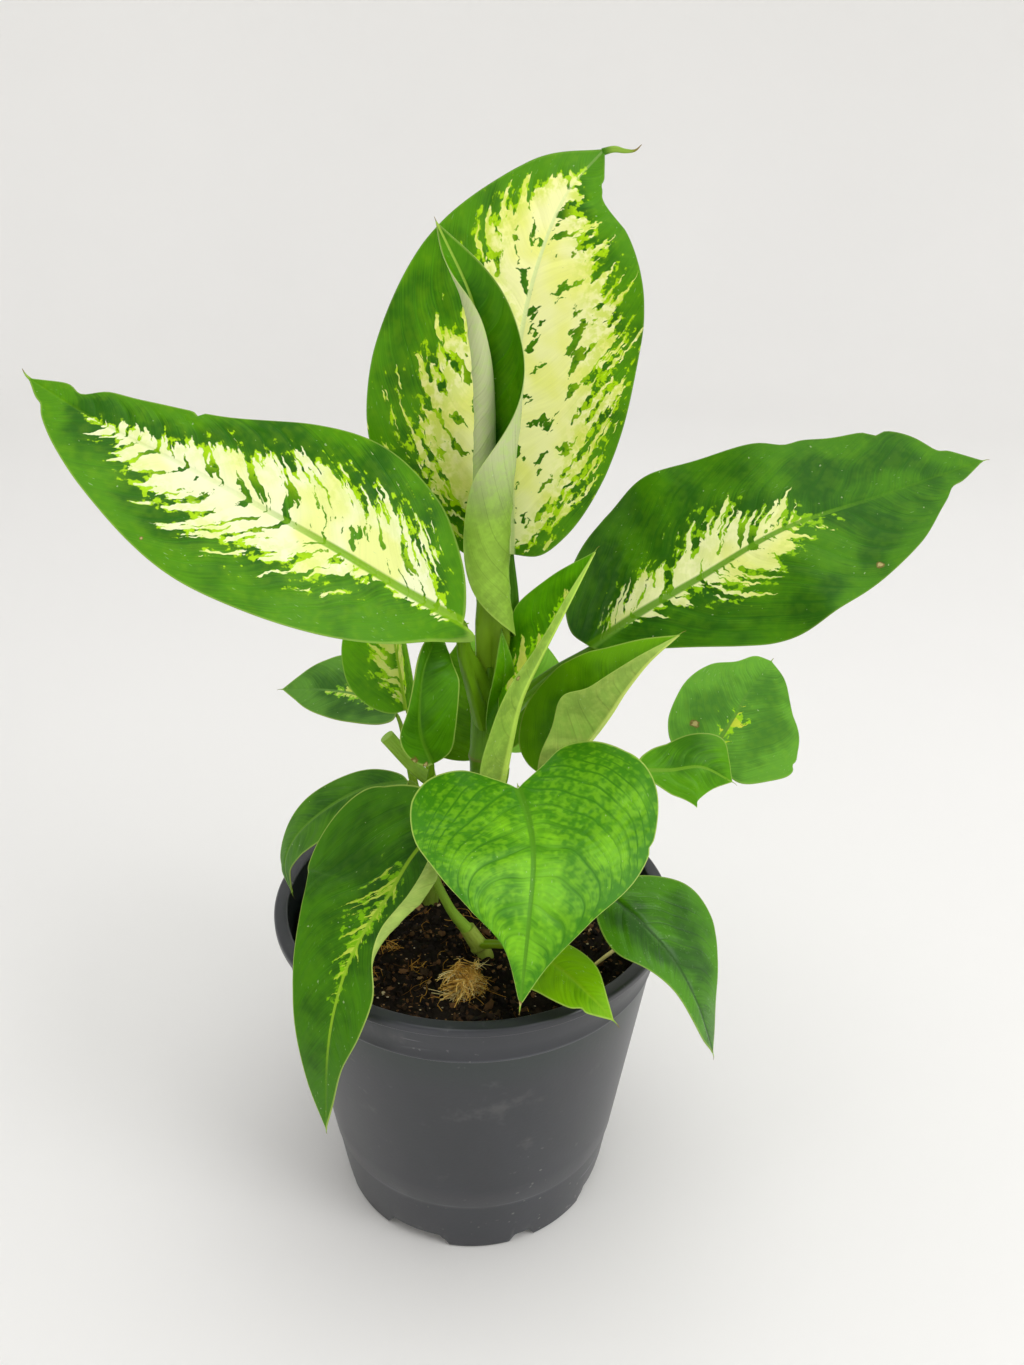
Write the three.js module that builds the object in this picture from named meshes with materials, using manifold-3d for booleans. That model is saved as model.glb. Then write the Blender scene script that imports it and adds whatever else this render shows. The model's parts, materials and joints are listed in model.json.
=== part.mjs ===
// A potted dieffenbachia: a dark nursery pot, its potting mix, five stems and the leaves they carry.
// Millimetres, +Z up, the plant's front towards -Y. The tables place everything from the centre of the
// pot's foot; the finished group is moved so that its origin is the bottom centre of its bounding box.
import * as THREE from "three";
import { mergeVertices } from "three/addons/utils/BufferGeometryUtils.js";
import Module from "manifold-3d";

// ---------------------------------------------------------------- driving dimensions

const RIM_RADIUS = 60; // a 12 cm nursery pot
const POT_HEIGHT = 103;
const FOOT_RADIUS = 43;
const NECK_RADIUS = 58; // outside of the wall, just below the lip
const WALL = 1.3;
const LIP_WIDTH = 4.1; // the flat top of the lip
const LIP_HEIGHT = 2.5;
const BAND_STEP = 0.4; // the wall steps out by this at each of two heights
const LOWER_STEP_Z = 21.5;
const UPPER_STEP_Z = 88.4;
const FLOOR_Z = 5; // underside of the raised floor
const FOOT_RING_WIDTH = 2.4;
const POT_SIDES = 60;

// Gaps in the foot ring, by the angle of the first of four, and the drain holes in the floor.
const WIDE_NOTCH = { firstAngle: -112.5, bottomWidth: 22, topWidth: 16, height: 4.5 };
const NARROW_NOTCH = { firstAngle: -67.5, bottomWidth: 8, topWidth: 5, height: 3.5 };
const DRAIN_HOLE_RADIUS = 3.5;
const DRAIN_CIRCLE_RADIUS = 29;
const DRAIN_HOLES = 8;

const SOIL_TOP = 95.5; // mean level of the mix, below the rim
const SOIL_SWELL = 0.9; // height of its bumps
const TUFT = { centre: [-1, -34], radii: [7, 5.5, 4.5] }; // a ball of fibre lying on the mix
const GAP = 0.3; // clearance between neighbouring pieces

const BLADE_THICKNESS = 0.9;
const TIP_HALF_WIDTH = 0.5;
const RIDGE_SHARE = 0.6; // how far the petiole runs on under the blade as a ridge
const RIDGE_END_RADIUS = 0.7;
const RIDGE_DEPTH = 0.8; // of the ridge's centre below the middle of the blade

// ---------------------------------------------------------------- the plant's tables

// A flattened half-blade from base to tip, as [along / length, millimetres across].
const scaled = (outline) => (half) => outline.map(([along, across]) => [along, across * half]);
const ovate = scaled([
  [0, 0], [-0.01, 0.3], [0.06, 0.66], [0.2, 0.93], [0.38, 1], [0.56, 0.92], [0.74, 0.66], [0.88, 0.31],
  [1, 0],
]);
const lance = scaled([
  [0, 0], [0.03, 0.36], [0.12, 0.7], [0.27, 0.94], [0.42, 1], [0.6, 0.9], [0.75, 0.65], [0.89, 0.3], [1, 0],
]);

// Stems rise out of the mix. Each is a path of points with its radius at each of them.
const STEMS = {
  main_stem: { path: [[5, 5, 72], [4, 5, 110], [3, 5, 145], [4, 5, 178]], radius: [4.6, 4.2, 4, 3.8] },
  front_shoot: { path: [[6, -18, 76], [4, -19, 94], [-1, -19, 104]], radius: [2.6, 3, 2.2] },
  left_shoot: { path: [[-13, 6, 74], [-14, 5, 105], [-14, 4, 134]], radius: [3, 2.6, 2.2] },
  right_shoot: { path: [[22, 2, 74], [22, 1, 105], [21, 0, 136]], radius: [3, 2.6, 2.2] },
  back_shoot: { path: [[6, 26, 74], [6, 27, 105], [6, 28, 130]], radius: [3, 2.6, 2.2] },
};

// What is left of a leaf that was cut off the left shoot.
const CUT_PETIOLE = {
  path: [[-14, 5, 108], [-10, 7, 124], [-12, 6, 137], [-17, 4, 144], [-25, 3, 155]],
  radius: [1.7, 1.5, 1.4, 1.4, 1.3],
};

const FLAT = { left: [0, 0], right: [0, 0] };

// Each leaf is a petiole, from its stem to the blade, and a blade. rib is the midrib from base to tip
// and face the way the upper side looks at the base and at the tip. margin is the outline of each
// flattened half; fold and curl are the degrees each half rises at the midrib and on to the margin,
// at the base and at the tip. Left and right are as seen from above with the tip away.
const LEAVES = {
  crown_leaf_back: {
    margin: {
      left: [[0, 0], [-0.01, 9], [0.05, 19], [0.15, 31], [0.27, 38], [0.4, 38.5], [0.56, 34], [0.69, 27],
        [0.82, 16], [0.93, 6], [1, 0]],
      right: [[0, 0], [0, 8], [0.05, 15], [0.14, 22], [0.27, 28], [0.43, 31], [0.6, 31], [0.74, 26],
        [0.85, 18], [0.91, 9], [1, 0]],
    },
    rib: [[10, 14, 207], [10, 15, 230], [11, 19, 256], [15, 24, 278], [23, 31, 298], [33, 38, 309]],
    face: [[0.05, -1, 0.2], [0.1, -1, 0.2]],
    fold: { left: [5, 5], right: [10, 10] },
    curl: { left: [10, 10], right: [10, 10] },
    wave: { size: 1, count: 3 },
    petiole: {
      path: [[4, 7, 166], [9, 11, 180], [11, 13, 192], [10, 14, 207]],
      radius: [2.6, 2.2, 1.8, 1.5],
    },
  },
  crown_leaf_left: {
    margin: {
      left: [[0, 0], [0.01, 4], [0.06, 9], [0.16, 16], [0.29, 22.5], [0.42, 26.5], [0.53, 27], [0.64, 24],
        [0.75, 18], [0.85, 11], [0.93, 5], [1, 0]],
      right: [[0, 0], [0.01, 4], [0.04, 11], [0.09, 18], [0.15, 24], [0.23, 27.5], [0.33, 28.5], [0.46, 25],
        [0.63, 15], [0.76, 10.5], [0.89, 6.5], [1, 0]],
    },
    rib: [[-2, -8, 195], [-18, -14, 207], [-34, -18, 219], [-65, -18, 237], [-90, -12, 248], [-109, -2, 256]],
    face: [[0.15, -0.8, 0.6], [0.1, -0.6, 0.75]],
    fold: { left: [5, 5], right: [5, 5] },
    curl: { left: [0, 0], right: [10, 10] },
    wave: { size: 1, count: 3 },
    petiole: {
      path: [[3, 4, 162], [-1, 0, 174], [-2, -4, 185], [-2, -8, 195]],
      radius: [3, 2.8, 2.4, 1.8],
    },
  },
  crown_leaf_right: {
    margin: {
      left: [[0, 0], [-0.04, 8], [-0.03, 18], [0.01, 25], [0.09, 30], [0.23, 34], [0.38, 33.4], [0.54, 27],
        [0.7, 22], [0.86, 16.5], [0.93, 8], [1, 0]],
      right: [[0, 0], [0.03, 3], [0.12, 8], [0.21, 14], [0.31, 21.6], [0.39, 26.8], [0.49, 29.4], [0.63, 25],
        [0.76, 18], [0.87, 8], [1, 0]],
    },
    rib: [[33, 10, 181], [46, 4, 194], [61, 2, 205], [82, 2, 219], [107, 6, 227], [136, 14, 235]],
    face: [[-0.1, -0.5, 0.85], [-0.1, -0.5, 0.85]],
    fold: { left: [10, 10], right: [-10, 0] },
    curl: { left: [5, 5], right: [-10, 0] },
    wave: { size: 1.4, count: 4 },
    petiole: {
      path: [[4, 5, 152], [12, 13, 160], [23, 15, 170], [33, 10, 181]],
      radius: [2.4, 2.2, 2, 1.7],
    },
  },
  rolled_new_leaf: {
    margin: {
      left: [[0, 0], [0.04, 7], [0.15, 11], [0.35, 13], [0.6, 12], [0.8, 8], [1, 0]],
      right: [[0, 0], [0.02, 9], [0.1, 20], [0.25, 27], [0.45, 27], [0.62, 21], [0.78, 12], [0.9, 5], [1, 0]],
    },
    rib: [[7, 5, 185], [4, 7, 202], [3, 8, 227], [3, 7, 248], [2, 5, 263], [0, 3, 275], [-8, -3, 293]],
    face: [[0, -1, 0], [0.1, -1, 0.2]],
    fold: FLAT,
    curl: { left: [230, 120], right: [290, 60] },
    wave: { size: 0, count: 1 },
    petiole: { path: [[4, 5, 177], [5, 5, 181], [7, 5, 186]], radius: [2.2, 2, 1.7] },
  },
  front_heart_leaf: {
    margin: {
      left: [[0, 0], [-0.08, 8], [-0.16, 16], [-0.13, 24], [0, 31], [0.18, 34.5], [0.36, 31.5], [0.53, 25],
        [0.68, 15], [0.84, 6], [1, 0]],
      right: [[0, 0], [-0.08, 6], [-0.16, 14], [-0.13, 23], [0, 29], [0.18, 30.5], [0.38, 28], [0.54, 23],
        [0.68, 14], [0.8, 5.5], [1, 0]],
    },
    rib: [[13, -20, 152], [16, -34, 150], [17, -48, 148], [16, -62, 141], [14, -74, 124]],
    face: [[-0.05, -0.2, 1], [0, -0.4, 1]],
    fold: { left: [12, 0], right: [4, 0] },
    curl: { left: [0, -10], right: [-5, -10] },
    wave: { size: 0.6, count: 2 },
    petiole: {
      path: [[21, 0, 126], [19, -7, 138], [16, -13, 147], [13, -20, 151]],
      radius: [1.7, 1.5, 1.4, 1.3],
    },
  },
  left_drooping_leaf: {
    margin: {
      left: [[0, 0], [-0.02, 9], [0.06, 15], [0.17, 17], [0.3, 12], [0.42, 8.5], [0.54, 10], [0.64, 8.5],
        [0.76, 4.5], [0.9, 2], [1, 0]],
      right: [[0, 0], [-0.06, 9], [-0.04, 19], [0.03, 28], [0.11, 31], [0.22, 29], [0.36, 22], [0.54, 15],
        [0.73, 9.5], [0.88, 5], [1, 0]],
    },
    rib: [[-8, -20, 141], [-16, -28, 134], [-21, -38, 129], [-26, -47, 125], [-30, -54, 119], [-33, -60, 110],
      [-35, -63, 98], [-37, -63, 71]],
    face: [[-0.3, -0.3, 1], [-0.4, -1, 0.3]],
    fold: { left: [-10, 0], right: [0, 0] },
    curl: { left: [90, 0], right: [0, 0] },
    wave: { size: 0.6, count: 3 },
    petiole: {
      path: [[0, -19, 102], [-6, -20, 112], [-11, -19, 127], [-8, -20, 141]],
      radius: [1.7, 1.2, 1.1, 1.1],
    },
  },
  left_rear_drooping_leaf: {
    margin: { left: lance(10), right: lance(9) },
    rib: [[-20, 12, 135], [-34, 8, 134], [-46, 4, 128], [-54, 2, 120], [-57, 0, 112], [-55, -3, 104]],
    face: [[-0.2, -0.3, 1], [-0.9, -0.5, 0.3]],
    fold: FLAT,
    curl: FLAT,
    wave: { size: 0.4, count: 2 },
    petiole: { path: [[-14, 4, 126], [-16, 8, 132], [-20, 12, 135]], radius: [1.6, 1.4, 1.2] },
  },
  right_drooping_leaf: {
    margin: {
      left: [[0, 0], [-0.06, 4], [-0.02, 9], [0.08, 15], [0.22, 20], [0.38, 19.5], [0.58, 13.5], [0.78, 8],
        [0.91, 4], [1, 0]],
      right: [[0, 0], [-0.02, 4], [0.05, 8], [0.18, 11.5], [0.33, 12.5], [0.48, 9], [0.63, 5.5], [0.78, 4],
        [0.9, 2.5], [1, 0]],
    },
    rib: [[39, -28, 123], [46, -36, 121], [54, -46, 117], [60, -54, 109], [65, -58, 95]],
    face: [[0, -0.3, 1], [0.8, -0.5, 0.5]],
    fold: FLAT,
    curl: FLAT,
    wave: { size: 0.4, count: 2 },
    petiole: {
      path: [[22, 1, 104], [27, -8, 115], [33, -20, 122], [39, -28, 123]],
      radius: [1.6, 1.4, 1.3, 1.2],
    },
  },
  right_small_leaf: {
    margin: { left: lance(8), right: lance(10) },
    rib: [[14, -34, 110], [25, -46, 112], [32, -56, 112], [38, -62, 109]],
    face: [[0, -0.3, 1], [0, -0.3, 1]],
    fold: FLAT,
    curl: FLAT,
    wave: { size: 0.3, count: 2 },
    petiole: { path: [[2.5, -19, 98], [8, -25, 103], [14, -34, 110]], radius: [1.4, 1.2, 1.1] },
  },
  left_spotted_leaf: {
    margin: { left: ovate(17), right: ovate(14) },
    rib: [[-21, 22, 154], [-23, 24, 168], [-26, 30, 180], [-32, 40, 193]],
    face: [[0, -1, 0.3], [0, -1, 0.3]],
    fold: { left: [0, 0], right: [60, 60] },
    curl: { left: [0, 0], right: [20, 20] },
    wave: { size: 0.4, count: 2 },
    petiole: {
      path: [[-14, 5, 120], [-13, 14, 134], [-17, 20, 146], [-21, 22, 154]],
      radius: [1.6, 1.3, 1.2, 1.1],
    },
  },
  far_left_leaf: {
    margin: { left: ovate(11), right: ovate(14) },
    rib: [[-26, 38, 145], [-38, 42, 149], [-52, 46, 149], [-65, 50, 147]],
    face: [[0, -0.4, 1], [0, -0.6, 0.8]],
    fold: { left: [0, 0], right: [10, 10] },
    curl: FLAT,
    wave: { size: 0.4, count: 2 },
    petiole: { path: [[-14, 5, 113], [-20, 22, 131], [-26, 38, 145]], radius: [1.6, 1.3, 1.2] },
  },
  left_upright_leaf: {
    margin: {
      left: [[0, 0], [0.02, 2], [0.18, 6], [0.28, 6.5], [0.4, 4], [0.6, 2.5], [0.8, 3], [1, 0]],
      right: [[0, 0], [0.05, 6], [0.2, 9.5], [0.5, 10.5], [0.7, 9.5], [0.82, 6], [1, 0]],
    },
    rib: [[-11, -8, 152], [-14, -10, 163], [-14, -10, 173], [-13, -8, 181], [-11, -3, 186], [-9, 4, 189]],
    face: [[0.3, -1, 0.2], [0.3, -1, 0.2]],
    fold: { left: [20, 20], right: [10, 10] },
    curl: FLAT,
    wave: { size: 0.4, count: 2 },
    petiole: { path: [[-14, 4, 132], [-13, -3, 140], [-11, -8, 152]], radius: [1.5, 1.3, 1.2] },
  },
  centre_folded_leaf: {
    margin: {
      left: [[0, 0], [0.1, 4], [0.3, 6], [0.42, 9], [0.55, 13], [0.7, 15], [0.85, 10], [1, 0]],
      right: [[0, 0], [0, 4], [0.06, 7.5], [0.16, 8.5], [0.3, 7.5], [0.45, 5], [0.6, 3], [0.8, 2], [1, 0]],
    },
    rib: [[8, -8, 146], [10, -9, 159], [13, -8, 173], [18, -4, 183], [24, 0, 194], [33, 8, 210]],
    face: [[-1, -0.1, 0.3], [-1, -0.1, 0.3]],
    fold: { left: [40, 40], right: [50, 50] },
    curl: { left: [0, 0], right: [10, 10] },
    wave: { size: 0.3, count: 2 },
    petiole: { path: [[4, 5, 126], [8, -3, 135], [8, -8, 146]], radius: [1.7, 1.5, 1.3] },
  },
  right_folded_leaf: {
    margin: {
      left: [[0, 0], [-0.05, 9], [-0.02, 15], [0.1, 19.5], [0.25, 21.5], [0.42, 21], [0.58, 17], [0.74, 10.5],
        [0.88, 5], [1, 0]],
      right: [[0, 0], [0, 4], [0.1, 8], [0.3, 11], [0.5, 11], [0.7, 7], [0.85, 3], [1, 0]],
    },
    rib: [[23, 1, 142], [32, -5, 158], [37, -10, 169], [41, -14, 179], [46, -18, 189], [53, -21, 198]],
    face: [[-0.7, -0.1, 0.6], [-0.6, -0.2, 0.8]],
    fold: { left: [50, 50], right: [80, 80] },
    curl: { left: [0, 0], right: [20, 20] },
    wave: { size: 0.4, count: 2 },
    petiole: { path: [[21, 0, 132], [22, 1, 137], [23, 2, 142]], radius: [1.7, 1.5, 1.3] },
  },
  far_right_leaf: {
    margin: {
      left: [[0, 0], [-0.16, 5], [-0.22, 11], [-0.08, 16], [0.16, 18.5], [0.44, 18.5], [0.62, 15], [0.78, 9],
        [0.95, 5], [1, 0]],
      right: [[0, 0], [-0.16, 5], [-0.2, 12], [-0.06, 19], [0.12, 24], [0.35, 22], [0.56, 17.5], [0.75, 13],
        [0.92, 7], [1, 0]],
    },
    rib: [[75, 24, 143], [82, 34, 148], [88, 44, 152], [97, 56, 157]],
    face: [[-0.1, -0.8, 0.6], [-0.1, -0.8, 0.6]],
    fold: FLAT,
    curl: FLAT,
    wave: { size: 0.5, count: 2 },
    petiole: {
      path: [[22, 1, 113], [35, 8, 129], [53, 15, 139], [75, 24, 143]],
      radius: [1.6, 1.4, 1.3, 1.2],
    },
  },
  right_folded_small_leaf: {
    margin: {
      left: [[0, 0], [0, 3], [0.12, 6], [0.32, 8], [0.55, 9.5], [0.75, 10], [0.86, 6], [1, 0]],
      right: [[0, 0], [0, 2], [0.15, 4], [0.35, 8], [0.55, 12], [0.7, 9], [0.85, 4], [1, 0]],
    },
    rib: [[48, -4, 149], [57, -2, 148], [66, 0, 148], [76, 2, 142]],
    face: [[0, -0.2, 1], [0, -0.2, 1]],
    fold: { left: [30, 50], right: [-50, -50] },
    curl: FLAT,
    wave: { size: 0.3, count: 2 },
    petiole: {
      path: [[21.5, 0, 120], [30, -4, 134], [39, -5, 145], [48, -4, 149]],
      radius: [1.5, 1.3, 1.2, 1.1],
    },
  },
  back_pale_leaf: {
    margin: { left: ovate(22), right: ovate(22) },
    rib: [[6, 46, 128], [8, 50, 142], [9, 54, 158], [10, 60, 172]],
    face: [[0, -1, 0.2], [0, -1, 0.3]],
    fold: FLAT,
    curl: FLAT,
    wave: { size: 0.4, count: 2 },
    petiole: { path: [[6, 28, 114], [6, 38, 120], [6, 46, 128]], radius: [1.7, 1.4, 1.3] },
  },
  back_dark_leaf: {
    margin: { left: ovate(18), right: ovate(18) },
    rib: [[2, 24, 137], [0, 24, 147], [-2, 26, 159], [-6, 32, 172]],
    face: [[0, -1, 0.2], [0, -1, 0.3]],
    fold: FLAT,
    curl: FLAT,
    wave: { size: 0.4, count: 2 },
    petiole: { path: [[6, 28, 127], [4, 26, 132], [2, 24, 137]], radius: [1.6, 1.4, 1.3] },
  },
};

// Cells over a blade, and stations along its petiole and ridge.
const LARGE_LEAF = { rows: 14, columns: 8, stations: 11 };
const SMALL_LEAF = { rows: 10, columns: 6, stations: 8 };
const LARGE_LEAVES = [
  "crown_leaf_back", "crown_leaf_left", "crown_leaf_right", "rolled_new_leaf", "front_heart_leaf",
];

// ---------------------------------------------------------------- geometry helpers

const wasm = await Module();
wasm.setup();

const vec = (p) => new THREE.Vector3(...p);
const smooth = (points) => new THREE.CatmullRomCurve3(points.map(vec), false, "centripetal");
const radians = THREE.MathUtils.degToRad;
const { lerp, clamp } = THREE.MathUtils;

function geometryOf(vertices, triangles) {
  const geometry = new THREE.BufferGeometry();
  geometry.setAttribute("position", new THREE.BufferAttribute(new Float32Array(vertices.flat()), 3));
  geometry.setIndex(triangles);
  return geometry;
}

// A closed geometry as a manifold-3d solid, and back.
function solidOf(geometry) {
  const bare = geometry.clone();
  bare.deleteAttribute("normal");
  bare.deleteAttribute("uv");
  const merged = mergeVertices(bare, 1e-4);
  return new wasm.Manifold(
    new wasm.Mesh({
      numProp: 3,
      vertProperties: new Float32Array(merged.attributes.position.array),
      triVerts: new Uint32Array(merged.index.array),
    }),
  );
}

function geometryFrom(solid) {
  const mesh = solid.getMesh();
  const geometry = new THREE.BufferGeometry();
  geometry.setAttribute("position", new THREE.BufferAttribute(mesh.vertProperties, 3));
  geometry.setIndex(new THREE.BufferAttribute(mesh.triVerts, 1));
  return geometry;
}

// A closed tube along a smooth path, with its radius given at evenly spaced stations.
function taperedTube(path, radii, steps, sides) {
  const curve = smooth(path);
  const frames = curve.computeFrenetFrames(steps, false);
  const vertices = [];
  const triangles = [];
  for (let i = 0; i <= steps; i++) {
    const centre = curve.getPointAt(i / steps);
    const place = (i / steps) * (radii.length - 1);
    const before = Math.min(Math.floor(place), radii.length - 2);
    const radius = lerp(radii[before], radii[before + 1], place - before);
    for (let k = 0; k < sides; k++) {
      const turn = (2 * Math.PI * k) / sides;
      const point = centre
        .clone()
        .addScaledVector(frames.normals[i], radius * Math.cos(turn))
        .addScaledVector(frames.binormals[i], radius * Math.sin(turn));
      vertices.push(point.toArray());
    }
  }
  for (let i = 0; i < steps; i++) {
    for (let k = 0; k < sides; k++) {
      const a = i * sides + k;
      const b = i * sides + ((k + 1) % sides);
      triangles.push(a, b, a + sides, b, b + sides, a + sides);
    }
  }
  const last = steps * sides;
  for (let k = 1; k < sides - 1; k++) {
    triangles.push(0, k + 1, k);
    triangles.push(last, last + k, last + k + 1);
  }
  return geometryOf(vertices, triangles);
}

// ---------------------------------------------------------------- leaves

// The blade in space: a midrib curve with, at each distance along it, a cross-section that bends away.
function bladeShape(leaf) {
  const rib = smooth(leaf.rib);
  const length = rib.getLength();
  const [baseFace, tipFace] = leaf.face.map(vec);
  const halves = {};
  for (const side of ["left", "right"]) {
    const margin = leaf.margin[side];
    halves[side] = {
      curve: smooth(margin.map(([along, across]) => [along * length, across, 0])),
      greatest: Math.max(...margin.map(([, across]) => across)),
    };
  }

  // The midrib's direction and the upper side's direction, square to it.
  function directions(share) {
    const tangent = rib.getTangentAt(share);
    const face = baseFace.clone().lerp(tipFace, share);
    const normal = face.addScaledVector(tangent, -face.dot(tangent)).normalize();
    return { tangent, normal };
  }

  // The point at a distance along the midrib and a signed distance across.
  function place(along, across) {
    const share = clamp(along / length, 0, 1);
    const { tangent, normal } = directions(share);
    const centre = rib.getPointAt(share).addScaledVector(tangent, along - share * length);
    const sideways = new THREE.Vector3().crossVectors(tangent, normal);
    const side = across < 0 ? "left" : "right";
    const half = halves[side].greatest;
    const fold = radians(lerp(...leaf.fold[side], share));
    const curl = radians(lerp(...leaf.curl[side], share)) / half; // per millimetre across
    const reach = Math.abs(across);
    const out = curl ? (Math.sin(fold + curl * reach) - Math.sin(fold)) / curl : Math.cos(fold) * reach;
    const up = curl ? (Math.cos(fold) - Math.cos(fold + curl * reach)) / curl : Math.sin(fold) * reach;
    const phase = across < 0 ? 0 : 1;
    const ripple = Math.sin(2 * Math.PI * leaf.wave.count * share + phase) * (reach / half) ** 2;
    return centre
      .addScaledVector(sideways, Math.sign(across) * out)
      .addScaledVector(normal, up + leaf.wave.size * ripple);
  }

  // u runs from base to tip and v from the left margin, -1, to the right margin, 1.
  function at(u, v) {
    const edge = halves[v < 0 ? "left" : "right"].curve.getPoint(u);
    const onRib = length * u ** 1.15;
    const halfWidth = Math.max(edge.y, TIP_HALF_WIDTH);
    return place(lerp(onRib, edge.x, Math.abs(v) ** 1.4), v * halfWidth);
  }
  return { at, directions, rib };
}

// A closed blade of even thickness over a grid of stations.
function bladeGeometry(leaf, rows, columns) {
  const { at } = bladeShape(leaf);
  const grid = [];
  for (let i = 0; i <= rows; i++) {
    grid.push([]);
    for (let j = 0; j <= columns; j++) {
      grid[i].push(at(i / rows, (2 * j) / columns - 1));
    }
  }
  const vertices = [];
  const stride = columns + 1;
  const layer = (rows + 1) * stride;
  for (const side of [0.5, -0.5]) {
    for (let i = 0; i <= rows; i++) {
      for (let j = 0; j <= columns; j++) {
        const along = grid[Math.min(i + 1, rows)][j].clone().sub(grid[Math.max(i - 1, 0)][j]);
        const across = grid[i][Math.min(j + 1, columns)].clone().sub(grid[i][Math.max(j - 1, 0)]);
        const normal = across.cross(along).normalize();
        vertices.push(grid[i][j].clone().addScaledVector(normal, side * BLADE_THICKNESS).toArray());
      }
    }
  }
  const triangles = [];
  const quad = (a, b, c, d) => triangles.push(a, b, c, a, c, d);
  for (let i = 0; i < rows; i++) {
    for (let j = 0; j < columns; j++) {
      const a = i * stride + j;
      const b = a + stride;
      quad(a, a + 1, b + 1, b);
      quad(layer + a, layer + b, layer + b + 1, layer + a + 1);
    }
  }
  for (let i = 0; i < rows; i++) {
    const left = i * stride;
    const right = left + columns;
    quad(left, left + stride, layer + left + stride, layer + left);
    quad(right + stride, right, layer + right, layer + right + stride);
  }
  for (let j = 0; j < columns; j++) {
    const tip = rows * stride + j;
    quad(j + 1, j, layer + j, layer + j + 1);
    quad(tip, tip + 1, layer + tip + 1, layer + tip);
  }
  return geometryOf(vertices, triangles);
}

// The petiole and, running on from it under the blade, the ridge of the midrib.
function petioleGeometry(leaf, stations) {
  const { rib, directions } = bladeShape(leaf);
  const path = [...leaf.petiole.path];
  const radius = [...leaf.petiole.radius];
  const endRadius = radius[radius.length - 1];
  for (const part of [1 / 3, 2 / 3, 1]) {
    const share = part * RIDGE_SHARE;
    const point = rib.getPointAt(share).addScaledVector(directions(share).normal, -RIDGE_DEPTH);
    path.push(point.toArray());
    radius.push(lerp(endRadius, RIDGE_END_RADIUS, part));
  }
  return taperedTube(path, radius, stations, 6);
}

// ---------------------------------------------------------------- pot, mix and fibre

// Radius of the wall's outside at a height, with its two steps, and of its smooth inside.
const taper = (z) => lerp(FOOT_RADIUS, NECK_RADIUS - 2 * BAND_STEP, z / (POT_HEIGHT - LIP_HEIGHT));
function outerRadius(z) {
  const steps = (z > LOWER_STEP_Z ? BAND_STEP : 0) + (z > UPPER_STEP_Z ? BAND_STEP : 0);
  return taper(z) + steps;
}
const innerRadius = (z) => taper(z) - WALL;

function turned(profile, sides) {
  const points = profile.map(([radius, z]) => new THREE.Vector2(radius, z));
  return new THREE.LatheGeometry(points, sides).rotateX(Math.PI / 2);
}

// A trapezoid block pushed through the foot ring at an angle.
function notchBlock({ bottomWidth, topWidth, height }, angle) {
  const outline = new THREE.Shape([
    new THREE.Vector2(-bottomWidth / 2, -1),
    new THREE.Vector2(bottomWidth / 2, -1),
    new THREE.Vector2(topWidth / 2, height),
    new THREE.Vector2(-topWidth / 2, height),
  ]);
  const depth = 12;
  const block = new THREE.ExtrudeGeometry(outline, { depth, bevelEnabled: false });
  block.rotateX(Math.PI / 2).rotateZ(Math.PI); // now standing, pushed towards +Y
  block.translate(0, FOOT_RADIUS - depth / 2, 0);
  return block.rotateZ(radians(angle - 90));
}

function potGeometry() {
  const wallTop = POT_HEIGHT - LIP_HEIGHT;
  const floorTop = FLOOR_Z + WALL;
  const ringInside = FOOT_RADIUS - FOOT_RING_WIDTH;
  const profile = [
    [0, FLOOR_Z],
    [ringInside, FLOOR_Z],
    [ringInside, 0],
    [FOOT_RADIUS - 0.4, 0],
    [outerRadius(0.6), 0.6],
    [outerRadius(LOWER_STEP_Z), LOWER_STEP_Z],
    [outerRadius(LOWER_STEP_Z + 0.5), LOWER_STEP_Z + 0.5],
    [outerRadius(UPPER_STEP_Z), UPPER_STEP_Z],
    [outerRadius(UPPER_STEP_Z + 0.6), UPPER_STEP_Z + 0.6],
    [outerRadius(wallTop), wallTop],
    [RIM_RADIUS - 0.3, wallTop],
    [RIM_RADIUS, wallTop + 0.4],
    [RIM_RADIUS, POT_HEIGHT - 0.5],
    [RIM_RADIUS - 0.5, POT_HEIGHT],
    [RIM_RADIUS - LIP_WIDTH + 0.3, POT_HEIGHT],
    [RIM_RADIUS - LIP_WIDTH, POT_HEIGHT - 0.3],
    [innerRadius(UPPER_STEP_Z), UPPER_STEP_Z],
    [innerRadius(floorTop), floorTop],
    [0, floorTop],
  ];
  let pot = solidOf(turned(profile, POT_SIDES));
  for (const notch of [WIDE_NOTCH, NARROW_NOTCH]) {
    for (let i = 0; i < 4; i++) {
      pot = pot.subtract(solidOf(notchBlock(notch, notch.firstAngle + 90 * i)));
    }
  }
  for (let i = 0; i < DRAIN_HOLES; i++) {
    const hole = new THREE.CylinderGeometry(DRAIN_HOLE_RADIUS, DRAIN_HOLE_RADIUS, 3 * WALL, 16);
    hole.rotateX(Math.PI / 2).translate(DRAIN_CIRCLE_RADIUS, 0, FLOOR_Z + WALL / 2);
    hole.rotateZ((2 * Math.PI * (i + 0.5)) / DRAIN_HOLES);
    pot = pot.subtract(solidOf(hole));
  }
  return geometryFrom(pot);
}

// Gentle bumps of the mix's surface.
function swell(x, y) {
  const bumps = Math.sin(x / 7 + 1) * Math.cos(y / 8) + 0.5 * Math.sin((x + 2 * y) / 9);
  return SOIL_SWELL * bumps;
}

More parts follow.
